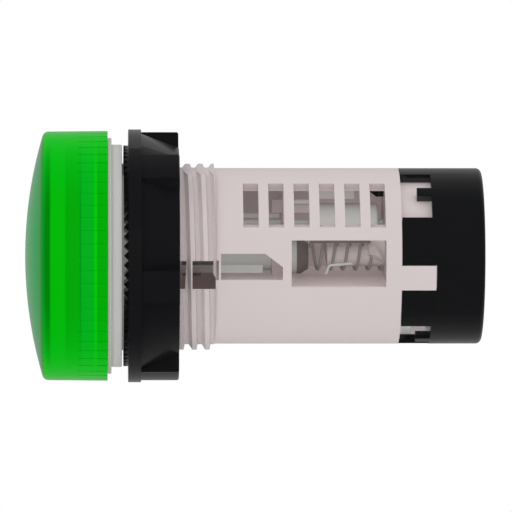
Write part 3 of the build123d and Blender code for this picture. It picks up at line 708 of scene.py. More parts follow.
# %% Repeating round the axis
def make_ring_tree():
    """Repeats its geometry round the X axis, evenly, from a start angle."""
    tree, start, end = new_geometry_tree("repeat_round_axis", [
        ("Count", "NodeSocketInt", 6), ("Start Angle", "NodeSocketFloat", 0.0),
        ("Material", "NodeSocketMaterial", None)])
    line = tree.nodes.new("GeometryNodeMeshLine")
    line.inputs["Offset"].default_value = (0, 0, 0)
    copies = tree.nodes.new("GeometryNodeInstanceOnPoints")
    index = tree.nodes.new("GeometryNodeInputIndex")
    step = tree_math(tree, "DIVIDE", 2 * math.pi, start.outputs["Count"])
    turn = tree_math(tree, "MULTIPLY_ADD", index.outputs[0], step,
                     start.outputs["Start Angle"])
    spin = tree.nodes.new("ShaderNodeCombineXYZ")
    tree.links.new(turn, spin.inputs["X"])
    tree.links.new(start.outputs["Count"], line.inputs["Count"])
    tree.links.new(line.outputs["Mesh"], copies.inputs["Points"])
    tree.links.new(start.outputs["Geometry"], copies.inputs["Instance"])
    tree.links.new(spin.outputs[0], copies.inputs["Rotation"])
    return finish_tree(tree, copies.outputs["Instances"], start, end)


ring_tree = make_ring_tree()
print("tree:", ring_tree.name)


def around(obj, count, frame_angle=0.0, material=ivory):
    """Repeats a piece drawn towards plus Y, starting at an angle from minus Y to plus Z."""
    turn = math.radians(180 - frame_angle)
    return grow(obj, ring_tree, Count=count, Start_Angle=turn, Material=material)


# %% [markdown]
# The lens cap is an injection-moulded green dome. Its crown is a shallow part of a sphere, and
# its skirt is smooth. It could be half a ball that is scaled flat, but then the rim's small
# round would be scaled with it, so its outline is drawn with true arcs and turned.

# %% Lens cap
skirt_lap = 0.06
lens_front, lens_rear = axis_span("lens_cap")
lens_rear += skirt_lap
head_radius = outer_radius("lens_cap")
sphere_radius = 49.0
crown_corner = 0.7
skirt_draft = 0.07
lens_wall = 1.4
lens_bore = 13.02
collar_front = axis_span("housing")[0]
sphere_centre = lens_front + sphere_radius
skirt_front = head_radius - skirt_draft


def crown(radius_end, offset=0.0, steps=26):
    """Points of the dome, or of a surface offset inside it, from the axis outwards."""
    sphere = sphere_radius - offset
    last = math.asin(radius_end / sphere)
    return [(sphere_centre - sphere * math.cos(last * i / steps),
             sphere * math.sin(last * i / steps)) for i in range(steps + 1)]


corner_radius_place = skirt_front - crown_corner
corner_reach = sphere_radius - crown_corner
corner_x = sphere_centre - math.sqrt(corner_reach ** 2 - corner_radius_place ** 2)
touch_radius = sphere_radius * corner_radius_place / corner_reach
touch_angle = 180 - math.degrees(math.asin(corner_radius_place / corner_reach))
outline = crown(touch_radius)[:-1]
outline += arc((corner_x, corner_radius_place), crown_corner, touch_angle, 90)
outline += [(lens_rear, head_radius), (lens_rear, lens_bore), (collar_front, lens_bore),
            (collar_front, head_radius - lens_wall)]
outline += crown(head_radius - lens_wall, lens_wall)[::-1]
lens = lathe("lens_moulding", outline, 360)
print("lens blank", round(lens_rear - lens_front, 2), "mm long")

# %% [markdown]
# Sixty fine grooves at the skirt's rear give a grip for turning the lens off, and three hooks
# inside it run behind the collar's lugs. One cutter is repeated round the blank, as a mould
# maker would index it, and the hooks are what three wedges leave of a ring.

# %% Grip and bayonet hooks of the lens
grip_grooves = 60
grip_turn = -0.6
grip_length = 3.51
groove_depth = 0.08
groove_reach, groove_mouth = 0.2, 0.4
groove_outline = [(head_radius - groove_depth, 0), (head_radius + groove_reach, groove_mouth),
                  (head_radius + groove_reach, -groove_mouth)]
groove_cutter = prism("groove_cutter", groove_outline, "yz", lens_rear - grip_length,
                      lens_rear + 1)
carve(lens, [around(groove_cutter, grip_grooves, grip_turn)])
hook_front, hook_inner, hook_sink = -2.92, 12.35, 0.3
lug_count, lug_half_span, lug_angle = 3, 13, 90
hooks = ring("hooks", hook_front, lens_rear, hook_inner, lens_bore + hook_sink)
hook_wedge = wedge("hook_wedge", lug_half_span, hook_front - 1, lens_rear + 1)
carve(hooks, [around(hook_wedge, lug_count, lug_angle)], "INTERSECT")
lens = gather("lens_moulding", [lens, hooks])
soften(lens, 0)
dress(lens, green, "lens_cap", "lens")

# %% [markdown]
# The gasket is a soft flat ring that the panel presses against the flange. It needs no more
# than a turned ring. Its edges are rounded, as a punched and used ring's are.

# %% Gasket
gasket_front, gasket_rear = axis_span("sealing_gasket")
gasket_radius = outer_radius("sealing_gasket")
gasket_bore, gasket_edge = 11.0, 0.12
gasket = ring("gasket_ring", gasket_front, gasket_rear, gasket_bore, gasket_radius)
soften(gasket, gasket_edge)
dress(gasket, gasket_rubber, "sealing_gasket", "base")

# %% [markdown]
# The lock washer bites the panel's rear face with 72 pointed teeth. They could be cut out of a
# ring. Here one tooth is a five-degree slice of the ring, and the ring is that slice repeated,
# so every tooth is the same and the count is one number.

# %% Teeth of the lock washer
washer_tip, washer_rear = axis_span("lock_washer")
washer_radius = outer_radius("lock_washer")
washer_bore = 11.05
teeth = 72
tooth_height = 0.53
half_tooth = math.pi / teeth
tooth_line = [(washer_rear, -half_tooth), (washer_tip + tooth_height, -half_tooth),
              (washer_tip, 0), (washer_tip + tooth_height, half_tooth),
              (washer_rear, half_tooth)]
tooth_points = [(x, r * math.cos(t), r * math.sin(t))
                for r in (washer_bore, washer_radius) for x, t in tooth_line]
tooth_faces = [(0, 1, 2, 3, 4), (5, 6, 7, 8, 9), (1, 2, 7, 6), (2, 3, 8, 7), (0, 4, 9, 5)]
washer = around(link_mesh("toothed_washer", tooth_points, tooth_faces), teeth)

# %% [markdown]
# A key inside the washer lies on the barrel's flat and keeps it from turning with the nut. It
# is what remains of a disc beyond that flat. The same helper cuts the flat into the barrel
# later, so the two always fit each other.

# %% Key of the lock washer
flat_angle, flat_distance = 79.7, 10.2
flat_play, key_overlap = 0.12, 0.3


def beyond_flat(name, distance, end):
    """All that lies past a flat at a distance from the axis, turned to its angle."""
    outline = [(distance, -past_all), (distance, past_all), (past_all, past_all),
               (past_all, -past_all)]
    return around(prism(name, outline, "yz", 0, end), 1, flat_angle)


key_front, key_radius = washer_tip + tooth_height, washer_bore + key_overlap
key = lathe("washer_key", [(key_front, 0), (key_front, key_radius), (washer_rear, key_radius),
                           (washer_rear, 0)])
carve(key, [beyond_flat("beyond_flat", flat_distance + flat_play, washer_rear + 1)],
      "INTERSECT")
washer = gather("toothed_washer", [washer, key])
soften(washer, 0, angle=20)
dress(washer, black, "lock_washer", "washer")

# %% [markdown]
# The ring nut is turned from the same outline as the CAD: a smooth flange towards the panel
# and a plain body behind it. A recess in its front takes the lock washer.

# %% Blank of the ring nut
nut_front, nut_rear = axis_span("fixing_nut")
nut_radius = outer_radius("fixing_nut")
nut_flange, nut_corner = 1.47, 0.25
flange_rear = nut_front + nut_flange
body_radius = 14.55
nut_bore = 11.0
recess_radius, recess_gap = 12.9, 0.08
recess_depth = washer_rear + recess_gap - nut_front
nut_outline = [(nut_front, recess_radius), (nut_front, nut_radius), (flange_rear, nut_radius),
               (flange_rear, body_radius)]
nut_outline += arc((nut_rear - nut_corner, body_radius - nut_corner), nut_corner, 90, 0)
nut_outline += [(nut_rear, nut_bore), (nut_front + recess_depth, nut_bore),
                (nut_front + recess_depth, recess_radius)]
nut = lathe("ring_nut", nut_outline, 360)
print("nut blank", round(nut_rear - nut_front, 2), "mm long")

# %% [markdown]
# Six scallops in the nut's body give the fingers a hold. Each is a wide V in front view, and
# its floor is a cone that falls towards the rear. So one straight V is drawn, the cone is cut
# out of it, and what is left is repeated six times and cut out of the nut.

# %% Scallops of the ring nut
scallops, scallop_turn, scallop_reach = 6, 15.5, 3
edge_half_angle = math.radians(22.5)
ramp_slope = math.tan(math.radians(50))
edge_out = body_radius * math.cos(edge_half_angle)
edge_side = body_radius * math.sin(edge_half_angle)
valley = edge_out - edge_side * ramp_slope
far_side = edge_side + scallop_reach
far_out = edge_out + scallop_reach * ramp_slope
scallop = prism("scallop", [(valley, 0), (far_out, far_side), (far_out, -far_side)], "yz",
                flange_rear, nut_rear + 1)
floor_front, floor_rear = 14.2, 12.55
floor_fall = (floor_front - floor_rear) / (nut_rear - flange_rear)
core = lathe("scallop_core", [(flange_rear - 1, 0), (flange_rear - 1, floor_front),
                              (flange_rear, floor_front),
                              (nut_rear + 2, floor_rear - 2 * floor_fall), (nut_rear + 2, 0)],
             360)
carve(scallop, [core])
carve(nut, [around(scallop, scallops, scallop_turn)])
soften(nut, 0.13)
dress(nut, black, "fixing_nut", "nut")

# %% [markdown]
# The housing is the largest moulding: a collar and a flange in front, a threaded barrel, and
# a slotted body. It could be built from many rings, but one turned blank has no seams between
# them, and everything open is then cut from it, as a tool maker would draw it.

# %% Housing blank
flange_front, flange_back, flange_radius = -1.62, -1.2, 13.68
collar_radius, collar_bore = 12.2, 10.675
neck_radius, neck_end = 10.95, 1.0
thread_root, thread_crest, thread_end = 10.27, 10.9, 10.72
body_outer, body_wall, rim_x = 10.2, 1.05, 32.08
bore = body_outer - body_wall
housing = lathe("housing_moulding", [
    (collar_front, collar_bore), (collar_front, collar_radius),
    (flange_front, collar_radius), (flange_front, flange_radius),
    (flange_back, flange_radius), (flange_back, neck_radius), (neck_end, neck_radius),
    (neck_end, thread_root), (thread_end, thread_root), (thread_end, body_outer),
    (rim_x, body_outer), (rim_x, bore), (flange_front, bore),
    (flange_front, collar_bore)], 288)
print("housing blank", round(rim_x - collar_front, 2), "mm long")

# %% [markdown]
# Six raked slots on each side let the resistor's heat out, and windows below them give a view
# of the contacts. Each slot is a straight cutter with a sloping sill, and the slots of the far
# side are the same cutter turned half round, so a change to one outline changes all twelve.

# %% Slots and windows
def polar(radius, angle):
    """(y, z) at an angle from minus Y towards plus Z."""
    turn = math.radians(angle)
    return (-radius * math.cos(turn), radius * math.sin(turn))


slot_top, slot_bottom, sill_slope = 54.8, 18.6, 15.0
slot_first, slot_pitch, slot_width, slots = 13.9, 2.92, 1.77, 6
slot_overcut, past_wall = 0.5, 2
slot_reach = bore - slot_overcut
sill = polar(body_outer, slot_bottom)
sill_inner_y = -slot_reach * math.cos(math.radians(slot_bottom))
rise = math.tan(math.radians(sill_slope))
slot_outline = [polar(slot_reach, slot_top), polar(body_outer + past_wall, slot_top),
                (sill[0] - past_wall, sill[1] - past_wall * rise),
                (sill_inner_y, sill[1] + (sill_inner_y - sill[0]) * rise)]
cutters = []
for number in range(slots):
    slot_x = slot_first + number * slot_pitch
    for side in (1, -1):
        cutters.append(prism("slot", [(side * y, side * z) for y, z in slot_outline], "yz",
                             slot_x, slot_x + slot_width))
window_floor, recess_floor = 3 - bore, -9.45
front_window = [(11.31, -2.78), (11.31, 0.23), (16.42, 0.23), (18.42, -1.32), (18.42, -2.78)]
main_window = [(19.42, -3.55), (19.42, 1.76), (30.3, 1.76), (30.3, -3.55)]
for outline in (front_window, main_window):
    cutters.append(prism("window", outline, "xz", -past_all, window_floor))
link_recess = [(10.78, -2.78), (10.78, -0.55), (11.08, -0.55), (11.08, -2.78)]
cutters.append(prism("link_recess", link_recess, "xz", -past_all, recess_floor))
print("openings in the body:", len(cutters))
carve(housing, [gather("openings", cutters)])

# %% [markdown]
# A flat along the top of the barrel guides the lock washer, and a small window with two panes
# shows the lamp's stem through the thread. Both go through the barrel and through the thread
# ridge on it, so one helper makes the cutter for the two of them.

# %% Flat and window of the barrel
def barrel_cutter(lift=0.0):
    """The flat for the lock washer and the two panes of the small window in the thread."""
    flat = beyond_flat("flat", flat_distance + lift, thread_end)
    front_pane = [(6.0, -3.8), (6.0, -0.6), (7.38, -0.6), (7.21, -3.8)]
    rear_pane = [(8.04, -3.8), (8.04, -0.6), (10.45, -0.6), (10.45, -2.1), (10.75, -2.55),
                 (10.75, -3.8)]
    panes = [prism("pane", outline, "xz", -past_all, window_floor)
             for outline in (front_pane, rear_pane)]
    return gather("barrel_cutter", [flat] + panes)


carve(housing, [barrel_cutter()])
soften(housing, 0.05)
print("housing shell:", len(housing.data.polygons))

# %% [markdown]
# The thread and the contact spring are both an outline carried along a helix. A Screw modifier
# makes a helix too, but the tree has its pitch, turns, start and hand as named inputs, and the
# two pieces then share it.

# %% Sweeping along a helix
def draw_line(name, points, closed=False):
    """A mesh of edges alone, from points in millimetres, for a tree to use as a line."""
    count = len(points)
    edges = [(i, (i + 1) % count) for i in range(count if closed else count - 1)]
    mesh = bpy.data.meshes.new(name)
    mesh.from_pydata([(x * mm, y * mm, z * mm) for x, y, z in points], edges, [])
    obj = bpy.data.objects.new(name, mesh)
    bpy.context.scene.collection.objects.link(obj)
    return obj


def make_helix_tree():
    """Sweeps its geometry, an outline in the XY plane, along a helix about the X axis."""
    tree, start, end = new_geometry_tree("sweep_along_helix", [
        ("Radius", "NodeSocketFloat", 0.01), ("Pitch", "NodeSocketFloat", 0.001),
        ("Turns", "NodeSocketFloat", 4.0), ("Start X", "NodeSocketFloat", 0.0),
        ("Start Angle", "NodeSocketFloat", 0.0), ("Steps per Turn", "NodeSocketInt", 96),
        ("Right Handed", "NodeSocketBool", True), ("Material", "NodeSocketMaterial", None)])
    helix = tree.nodes.new("GeometryNodeCurveSpiral")
    tree.links.new(start.outputs["Steps per Turn"], helix.inputs["Resolution"])
    tree.links.new(start.outputs["Turns"], helix.inputs["Rotations"])
    tree.links.new(start.outputs["Radius"], helix.inputs["Start Radius"])
    tree.links.new(start.outputs["Radius"], helix.inputs["End Radius"])
    height = tree_math(tree, "MULTIPLY", start.outputs["Pitch"], start.outputs["Turns"])
    tree.links.new(height, helix.inputs["Height"])
    tree.links.new(start.outputs["Right Handed"], helix.inputs["Reverse"])
    upright = tree.nodes.new("GeometryNodeSetCurveNormal")
    upright.mode = "Z_UP"
    tree.links.new(helix.outputs["Curve"], upright.inputs["Curve"])
    outline = tree.nodes.new("GeometryNodeMeshToCurve")
    tree.links.new(start.outputs["Geometry"], outline.inputs["Mesh"])
    sweep = tree.nodes.new("GeometryNodeCurveToMesh")
    sweep.inputs["Fill Caps"].default_value = True
    tree.links.new(upright.outputs["Curve"], sweep.inputs["Curve"])
    tree.links.new(outline.outputs["Curve"], sweep.inputs["Profile Curve"])
    # First a turn about the helix's own axis, then the axis is laid along X
    twist = tree.nodes.new("ShaderNodeCombineXYZ")
    tree.links.new(start.outputs["Start Angle"], twist.inputs["Z"])
    turned = tree.nodes.new("GeometryNodeTransform")
    tree.links.new(sweep.outputs["Mesh"], turned.inputs["Geometry"])
    tree.links.new(twist.outputs[0], turned.inputs["Rotation"])
    laid = tree.nodes.new("GeometryNodeTransform")
    laid.inputs["Rotation"].default_value = (0, math.pi / 2, 0)
    place = tree.nodes.new("ShaderNodeCombineXYZ")
    tree.links.new(start.outputs["Start X"], place.inputs["X"])
    tree.links.new(turned.outputs["Geometry"], laid.inputs["Geometry"])
    tree.links.new(place.outputs[0], laid.inputs["Translation"])
    return finish_tree(tree, laid.outputs["Geometry"], start, end)


helix_tree = make_helix_tree()
print("tree:", helix_tree.name)

# %% [markdown]
# The thread is right-handed, with a trapezoid as its section, and it is sunk a little into the
# barrel so that no gap opens under it. Its last turn runs on past the thread's end and is cut
# off there, and the flat and the small window are cut through it as through the barrel.

# %% Thread of the barrel
thread_pitch = 1.5
thread_start = 1.645
thread_run_on = 1.0
thread_turns = (thread_end + thread_run_on - thread_start) / thread_pitch
thread_sink = 0.08
ridge_height = thread_crest - thread_root + thread_sink
half_crest = 0.25
front_root, rear_root = -0.36, 0.72
ridge_outline = [(0, front_root), (ridge_height, -half_crest), (ridge_height, half_crest),
                 (0, rear_root)]
ridge = draw_line("thread_ridge", [(x, y, 0) for x, y in ridge_outline], closed=True)
thread_phase = 0.537
grow(ridge, helix_tree, Radius=(thread_root - thread_sink) * mm, Pitch=thread_pitch * mm,
     Turns=thread_turns, Start_X=thread_start * mm,
     Start_Angle=math.radians(-360 * thread_phase), Steps_per_Turn=144, Right_Handed=True,
     Material=ivory)
cut_off_end, cut_off_radius = 14, 12
past_thread = lathe("past_thread", [(thread_end, 0), (thread_end, cut_off_radius),
                                    (cut_off_end, cut_off_radius), (cut_off_end, 0)])
# The ridge's flat lies a trace above the root's, as two faces in one plane would shade black
flat_lift = 0.02
carve(ridge, [barrel_cutter(flat_lift), past_thread])
print("thread:", round(thread_turns, 2), "turns of", thread_pitch, "mm")

# %% [markdown]
# Inside the body stand a wall for the lamp, a wall with a square boss that guides the plunger,
# and ribs behind the slots. They are seen only in part, through windows, so plain rings and
# prisms do. Each runs a little into the body, so that no gap of light shows round it.

# %% Inner walls
def rod(name, place, radius, start, end, sides=96):
    """A round bar along the axis direction, at a (y, z) place."""
    outline = [(place[0] + radius * math.cos(2 * math.pi * i / sides),
                place[1] + radius * math.sin(2 * math.pi * i / sides)) for i in range(sides)]
    return prism(name, outline, "yz", start, end)


wall_sink = 0.1
lamp_wall_front, lamp_wall_rear, lamp_opening = 5.2, 6.4, 2.85
lamp_wall = ring("lamp_wall", lamp_wall_front, lamp_wall_rear, lamp_opening, bore + wall_sink)
guide_front, guide_rear = 18.55, 19.3
plunger_bore = 2.17
guide_wall = ring("guide_wall", guide_front, guide_rear, plunger_bore, bore + wall_sink)
boss_front, rib_rear = 17.4, 22.35
boss = prism("guide_boss", oblong(-3, 3, -2.9, 2.6), "yz", boss_front, guide_front)
carve(boss, [rod("bore", (0, 0), plunger_bore, boss_front - 1, guide_front + 1)])
guide_rib = prism("guide_rib", oblong(-2, 3, 5, 6.5), "yz", boss_front, guide_front)
rear_rib = prism("rear_rib", oblong(-2, 3, 5, 5.93), "yz", guide_rear, rib_rear)
print("inner walls and ribs:", len((lamp_wall, guide_wall, boss, guide_rib, rear_rib)))

# %% [markdown]
# Two shelves close the windows from below and fall a little towards them. A shelf is a sloping
# plate, and only what lies inside the bore is kept of it, so that it meets the wall all along.

# %% Shelves behind the windows
def shelf(name, drop, slope, start, end):
    """A sloping shelf across the bore, lower towards the windows."""
    lift = past_all * math.tan(math.radians(slope))
    slab = prism(name, [(-past_all, -drop - lift), (past_all, -drop + lift),
                        (past_all, -drop + lift - shelf_thickness),
                        (-past_all, -drop - lift - shelf_thickness)], "yz", start, end)
    inside = rod("inside", (0, 0), bore + wall_sink, start - 1, end + 1, 192)
    return carve(slab, [inside], "INTERSECT")


shelf_thickness = 1
front_shelf_x, carrier_x = 11.31, 30.45
main_drop, main_slope = 2.35, 7.2
front_drop, front_slope = 2.22, 3.3
main_shelf = shelf("main_shelf", main_drop, main_slope, guide_rear, carrier_x)
front_shelf = shelf("front_shelf", front_drop, front_slope, front_shelf_x, guide_front)
print("shelves", main_drop, "and", front_drop, "mm below the axis")

# %% [markdown]
# Three lugs on the collar hold the lens, and three tabs at the rear snap into the cap. Both
# are what wedges leave of a ring, which is quicker than drawing one and bending it.

# %% Lugs and tabs
lug_gap, lug_length, lug_height = 1.55, 1.6, 0.62
lug_rear = flange_front - lug_gap
lugs = ring("lugs", lug_rear - lug_length, lug_rear, (collar_bore + collar_radius) / 2,
            collar_radius + lug_height)
lug_wedge = wedge("lug_wedge", lug_half_span, lug_rear - 3, lug_rear + 1)
carve(lugs, [around(lug_wedge, lug_count, lug_angle)], "INTERSECT")
tab_count, tab_angle, tab_span, tab_end, tab_lap = 3, -14.7, 16.4, 36.05, 0.01
tabs = ring("tabs", rim_x - tab_lap, tab_end, bore, body_outer)
tab_wedge = wedge("tab_wedge", tab_span / 2, rim_x - 1, tab_end + 1)
carve(tabs, [around(tab_wedge, tab_count, tab_angle)], "INTERSECT")
print("lugs:", lug_count, "tabs:", tab_count)

# %% [markdown]
# The moulding is now gathered into one mesh, and nearly all of it is the same ivory. Three
# places differ: the flange looks beige, the neck gets a painted glow for the light it catches
# between gasket and washer, and the floors inside get a stronger painted glow, as they are the
# most lit. They are the same piece, so their faces get a material of their own, picked by
# place and direction.

# %% The housing as one moulding
inner_pieces = [ridge, lamp_wall, guide_wall, boss, guide_rib, rear_rib, main_shelf,
                front_shelf, lugs, tabs]
for piece in inner_pieces:
    soften(piece, 0)
housing = gather("housing_moulding", [housing] + inner_pieces)
crease_angle = 13
housing.data.shade_smooth()
housing.data.set_sharp_from_angle(angle=math.radians(crease_angle))
dress(housing, ivory, "housing", "base")
flange_finish, neck_glow_index, lit_floor_index = 1, 2, 3
for finish in (flange_beige, neck_ivory, ivory_floor):
    housing.data.materials.append(finish)
body_start, level_normal = 11, 0.9
near_neck, near_flange = 0.05, 0.02
for face in housing.data.polygons:
    middle = face.center / mm
    radius = math.hypot(middle.y, middle.z)
    if middle.x < neck_end and abs(radius - neck_radius) < near_neck:
        face.material_index = neck_glow_index
    in_bore = radius < bore and middle.x > body_start
    if in_bore and face.normal.z > level_normal and middle.z < 0:
        face.material_index = lit_floor_index
    on_flange = flange_front - near_flange < middle.x < flange_back + near_flange
    if on_flange and radius > collar_radius + 0.1:
        face.material_index = flange_finish
other_finish = sum(face.material_index > 0 for face in housing.data.polygons)
print("housing faces with a finish of their own:", other_finish)

# %% [markdown]
# The rear cap covers the terminals. It is a black cup with a rounded edge and stands a
# hair's breadth behind the housing's rim, which shows as a thin dark line. Like the other
# round pieces it is turned from its outline.

# %% Rear cap
cap_gap = 0.08
cap_front, cap_rear = rim_x + cap_gap, axis_span("rear_cap")[1]
cap_wall, cap_end_wall, cap_corner = 0.95, 1.5, 0.6
cap_outline = [(cap_front, body_outer)]
cap_outline += arc((cap_rear - cap_corner, body_outer - cap_corner), cap_corner, 90, 0)
cap_outline += [(cap_rear, 0), (cap_rear - cap_end_wall, 0),
                (cap_rear - cap_end_wall, body_outer - cap_wall),
                (cap_front, body_outer - cap_wall)]
cap = lathe("rear_cap_moulding", cap_outline, 288)
print("cap blank", round(cap_rear - cap_front, 2), "mm long")

# %% [markdown]
# Three notches let the wires in, a tongue in each holds the wire down, the housing's tabs
# have their slots, and a screwdriver reaches the three terminal screws through holes in the
# end. A notch with its tongue is three wedges joined, and each cutter is repeated in threes.

# %% Notches, tab slots and holes of the cap
terminals = 3
terminal_angle, terminal_radius = 45.3, 6.1
notch_angle, notch_span, notch_end = 46.4, 41.6, 35.62
tongue_span, tongue_length, notch_lap = 7.4, 1.68, 0.2
tongue_front = notch_end - tongue_length
side_middle = (notch_span + tongue_span) / 4
side_half = (notch_span - tongue_span) / 4
notch = wedge("notch", notch_span / 2, cap_front - 1, tongue_front)
notch_low_side = wedge("notch_low", side_half, tongue_front - notch_lap, notch_end,
                       middle=-side_middle)
notch_high_side = wedge("notch_high", side_half, tongue_front - notch_lap, notch_end,
                        middle=side_middle)
carve(notch, [notch_low_side, notch_high_side], "UNION")
tab_slot_side, tab_slot_play = 0.5, 0.1
tab_slot = wedge("tab_slot", tab_span / 2 + tab_slot_side, cap_front - 1,
                 tab_end + tab_slot_play)
driver_hole_radius, driver_hole_depth = 2.6, 3
driver_hole = rod("driver_hole", (terminal_radius, 0), driver_hole_radius,
                  cap_rear - driver_hole_depth, cap_rear + 1)
for opening, angle in ((notch, notch_angle), (tab_slot, tab_angle),
                       (driver_hole, terminal_angle)):
    carve(cap, [around(opening, terminals, angle)])
soften(cap, 0.06)
dress(cap, black, "rear_cap", "base")

# %% [markdown]
# Behind the upper notch a curved ivory plate of the terminal carrier leads the wire in. It is
# a part of a thin ring, cut to the notch's width and a little more.

# %% Guide plate behind the upper notch
entry_front, entry_rear = rim_x - 0.6, notch_end + 0.4
entry_inner, entry_outer, entry_half_span = 8.93, 9.12, 26
entry_guide = ring("entry_guide", entry_front, entry_rear, entry_inner, entry_outer)
guide_wedge = wedge("guide_wedge", entry_half_span, rim_x - 1, notch_end + 1,
                    middle=180 - notch_angle)
carve(entry_guide, [guide_wedge], "INTERSECT")
soften(entry_guide, 0)
dress(entry_guide, ivory, "terminal_carrier", "base", extra=True)

# %% [markdown]
# The lamp stands in the front wall, behind the lens. Its bulb is a thin shell with a round
# tip, and its metal base has a wider foot. Both are turned, the bulb with its inner side too,
# because glass needs a wall to look like glass.

# %% Lamp
glass_wall = 0.3
bulb_front, bulb_rear = axis_span("lamp_bulb")
bulb_radius = outer_radius("lamp_bulb")
bulb_outline = arc((bulb_front + bulb_radius, 0), bulb_radius, 180, 90, 16)
bulb_outline += [(bulb_rear, bulb_radius), (bulb_rear, bulb_radius - glass_wall)]
bulb_outline += arc((bulb_front + bulb_radius, 0), bulb_radius - glass_wall, 90, 180, 16)
bulb = soften(lathe("bulb_glass", bulb_outline, 96), 0)
dress(bulb, glass, "lamp_bulb", "lamp")
base_front, base_rear = axis_span("lamp_base")
foot_radius, foot_rear, shank_radius = 3.45, 3.6, 2.75
base_outline = [(base_front, 0), (base_front, foot_radius), (foot_rear, foot_radius),
                (foot_rear, shank_radius), (base_rear, shank_radius), (base_rear, 0)]
lamp_base = soften(lathe("lamp_base_shell", base_outline, 96), 0.08)
dress(lamp_base, plated, "lamp_base", "lamp")

# %% [markdown]
# A long turned stem reaches back from the lamp, and a plunger under a spring meets it. They
# are the grey parts that show in the windows, so each is turned with its shoulders. The
# plunger's cup behind the guide wall is darker, so its faces there get a second finish.

# %% Stem and plunger
stem_front, stem_rear = axis_span("contact_stem")
stem_radius = outer_radius("contact_stem")
shoulder_x, stem_neck = 9.2, 1.63
stem_outline = [(stem_front, 0), (stem_front, stem_radius), (shoulder_x, stem_radius),
                (shoulder_x, stem_neck), (stem_rear, stem_neck), (stem_rear, 0)]
stem = soften(lathe("stem_turning", stem_outline, 128), 0.06)
dress(stem, dull_metal, "contact_stem", "lamp")
plunger_front, plunger_rear = axis_span("contact_plunger")
plunger_radius = outer_radius("contact_plunger")
cup_x, cup_shoulder, cup_cone = 20.28, 20.8, 21.3
plunger_outline = [(plunger_front, 0), (plunger_front, plunger_radius),
                   (cup_x, plunger_radius), (cup_shoulder, plunger_radius),
                   (cup_cone, plunger_radius - 0.35),
                   (plunger_rear, plunger_radius - 0.55), (plunger_rear, 0)]
plunger = soften(lathe("plunger_turning", plunger_outline, 128), 0.06)
dress(plunger, dull_metal, "contact_plunger", "plunger")
plunger.data.materials.append(olive_metal)
for face in plunger.data.polygons:
    if face.center.x / mm > cup_x:
        face.material_index = 1

# %% [markdown]
# The contact spring is drawn wire wound left-handed, which shows in the lean of the turns
# nearest the window. Its wire's round section is swept along the helix with the thread's tree.

# %% Contact spring
spring_front, spring_rear = axis_span("contact_spring")
wire_radius, coil_radius = 0.18, 1.55
spring_turns, spring_start_angle = 5.75, 3.96
spring_run = spring_rear - spring_front - 2 * wire_radius
spring_pitch = spring_run / spring_turns
section_sides = 16
section_turns = [2 * math.pi * i / section_sides for i in range(section_sides)]
spring = draw_line("spring_wire", [(wire_radius * math.cos(t), wire_radius * math.sin(t), 0)
                                   for t in section_turns], closed=True)
grow(spring, helix_tree, Radius=coil_radius * mm, Pitch=spring_pitch * mm,
     Turns=spring_turns, Start_X=(spring_front + wire_radius) * mm,
     Start_Angle=spring_start_angle, Steps_per_Turn=64, Right_Handed=False,
     Material=spring_wire)
soften(spring, 0, angle=60)
dress(spring, spring_wire, "contact_spring", "base")

# %% [markdown]
# A tinned wire is bent past the front of the spring and runs back into the carrier. A curve
# with a round bevel would do, but a tree that bends a plain line keeps the wire's radius and
# the bend's radius as two named inputs.

# %% Link wire
def make_bent_wire_tree():
    """A round wire along a polyline, with its corners bent to a radius."""
    tree, start, end = new_geometry_tree("bent_wire", [
        ("Wire Radius", "NodeSocketFloat", 0.0002), ("Bend Radius", "NodeSocketFloat", 0.0005),
        ("Sides", "NodeSocketInt", 24), ("Material", "NodeSocketMaterial", None)])
    route = tree.nodes.new("GeometryNodeMeshToCurve")
    tree.links.new(start.outputs["Geometry"], route.inputs["Mesh"])
    bend = tree.nodes.new("GeometryNodeFilletCurve")
    bend.mode = "POLY"
    bend.inputs["Count"].default_value = 10
    tree.links.new(route.outputs["Curve"], bend.inputs["Curve"])
    tree.links.new(start.outputs["Bend Radius"], bend.inputs["Radius"])
    ring = tree.nodes.new("GeometryNodeCurvePrimitiveCircle")
    tree.links.new(start.outputs["Sides"], ring.inputs["Resolution"])
    tree.links.new(start.outputs["Wire Radius"], ring.inputs["Radius"])
    sweep = tree.nodes.new("GeometryNodeCurveToMesh")
    sweep.inputs["Fill Caps"].default_value = True
    tree.links.new(bend.outputs["Curve"], sweep.inputs["Curve"])
    tree.links.new(ring.outputs["Curve"], sweep.inputs["Profile Curve"])
    return finish_tree(tree, sweep.outputs["Mesh"], start, end)


wire_tree = make_bent_wire_tree()
link_low, link_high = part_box("link_wire")
link_radius, bend_radius = 0.16, 0.35
link_y = link_low.y / mm + link_radius
link_route = [(23.62, link_y, -2.1), (24.02, link_y, -1.1), (26.68, link_y, -0.88),
              (26.68, link_high.y / mm, -0.88)]
link = draw_line("link_wire_bent", link_route)
grow(link, wire_tree, Wire_Radius=link_radius * mm, Bend_Radius=bend_radius * mm, Sides=20,
     Material=tinned)
soften(link, 0, angle=60)
dress(link, tinned, "link_wire", "base")

# %% [markdown]
# The series resistor is a coated cylinder with rounded ends, seen through the last slots. It
# is turned about the light's axis like the rest and then moved to its own place. The coat is
# drawn a little thinner than in the CAD, as its edges in the slots show.

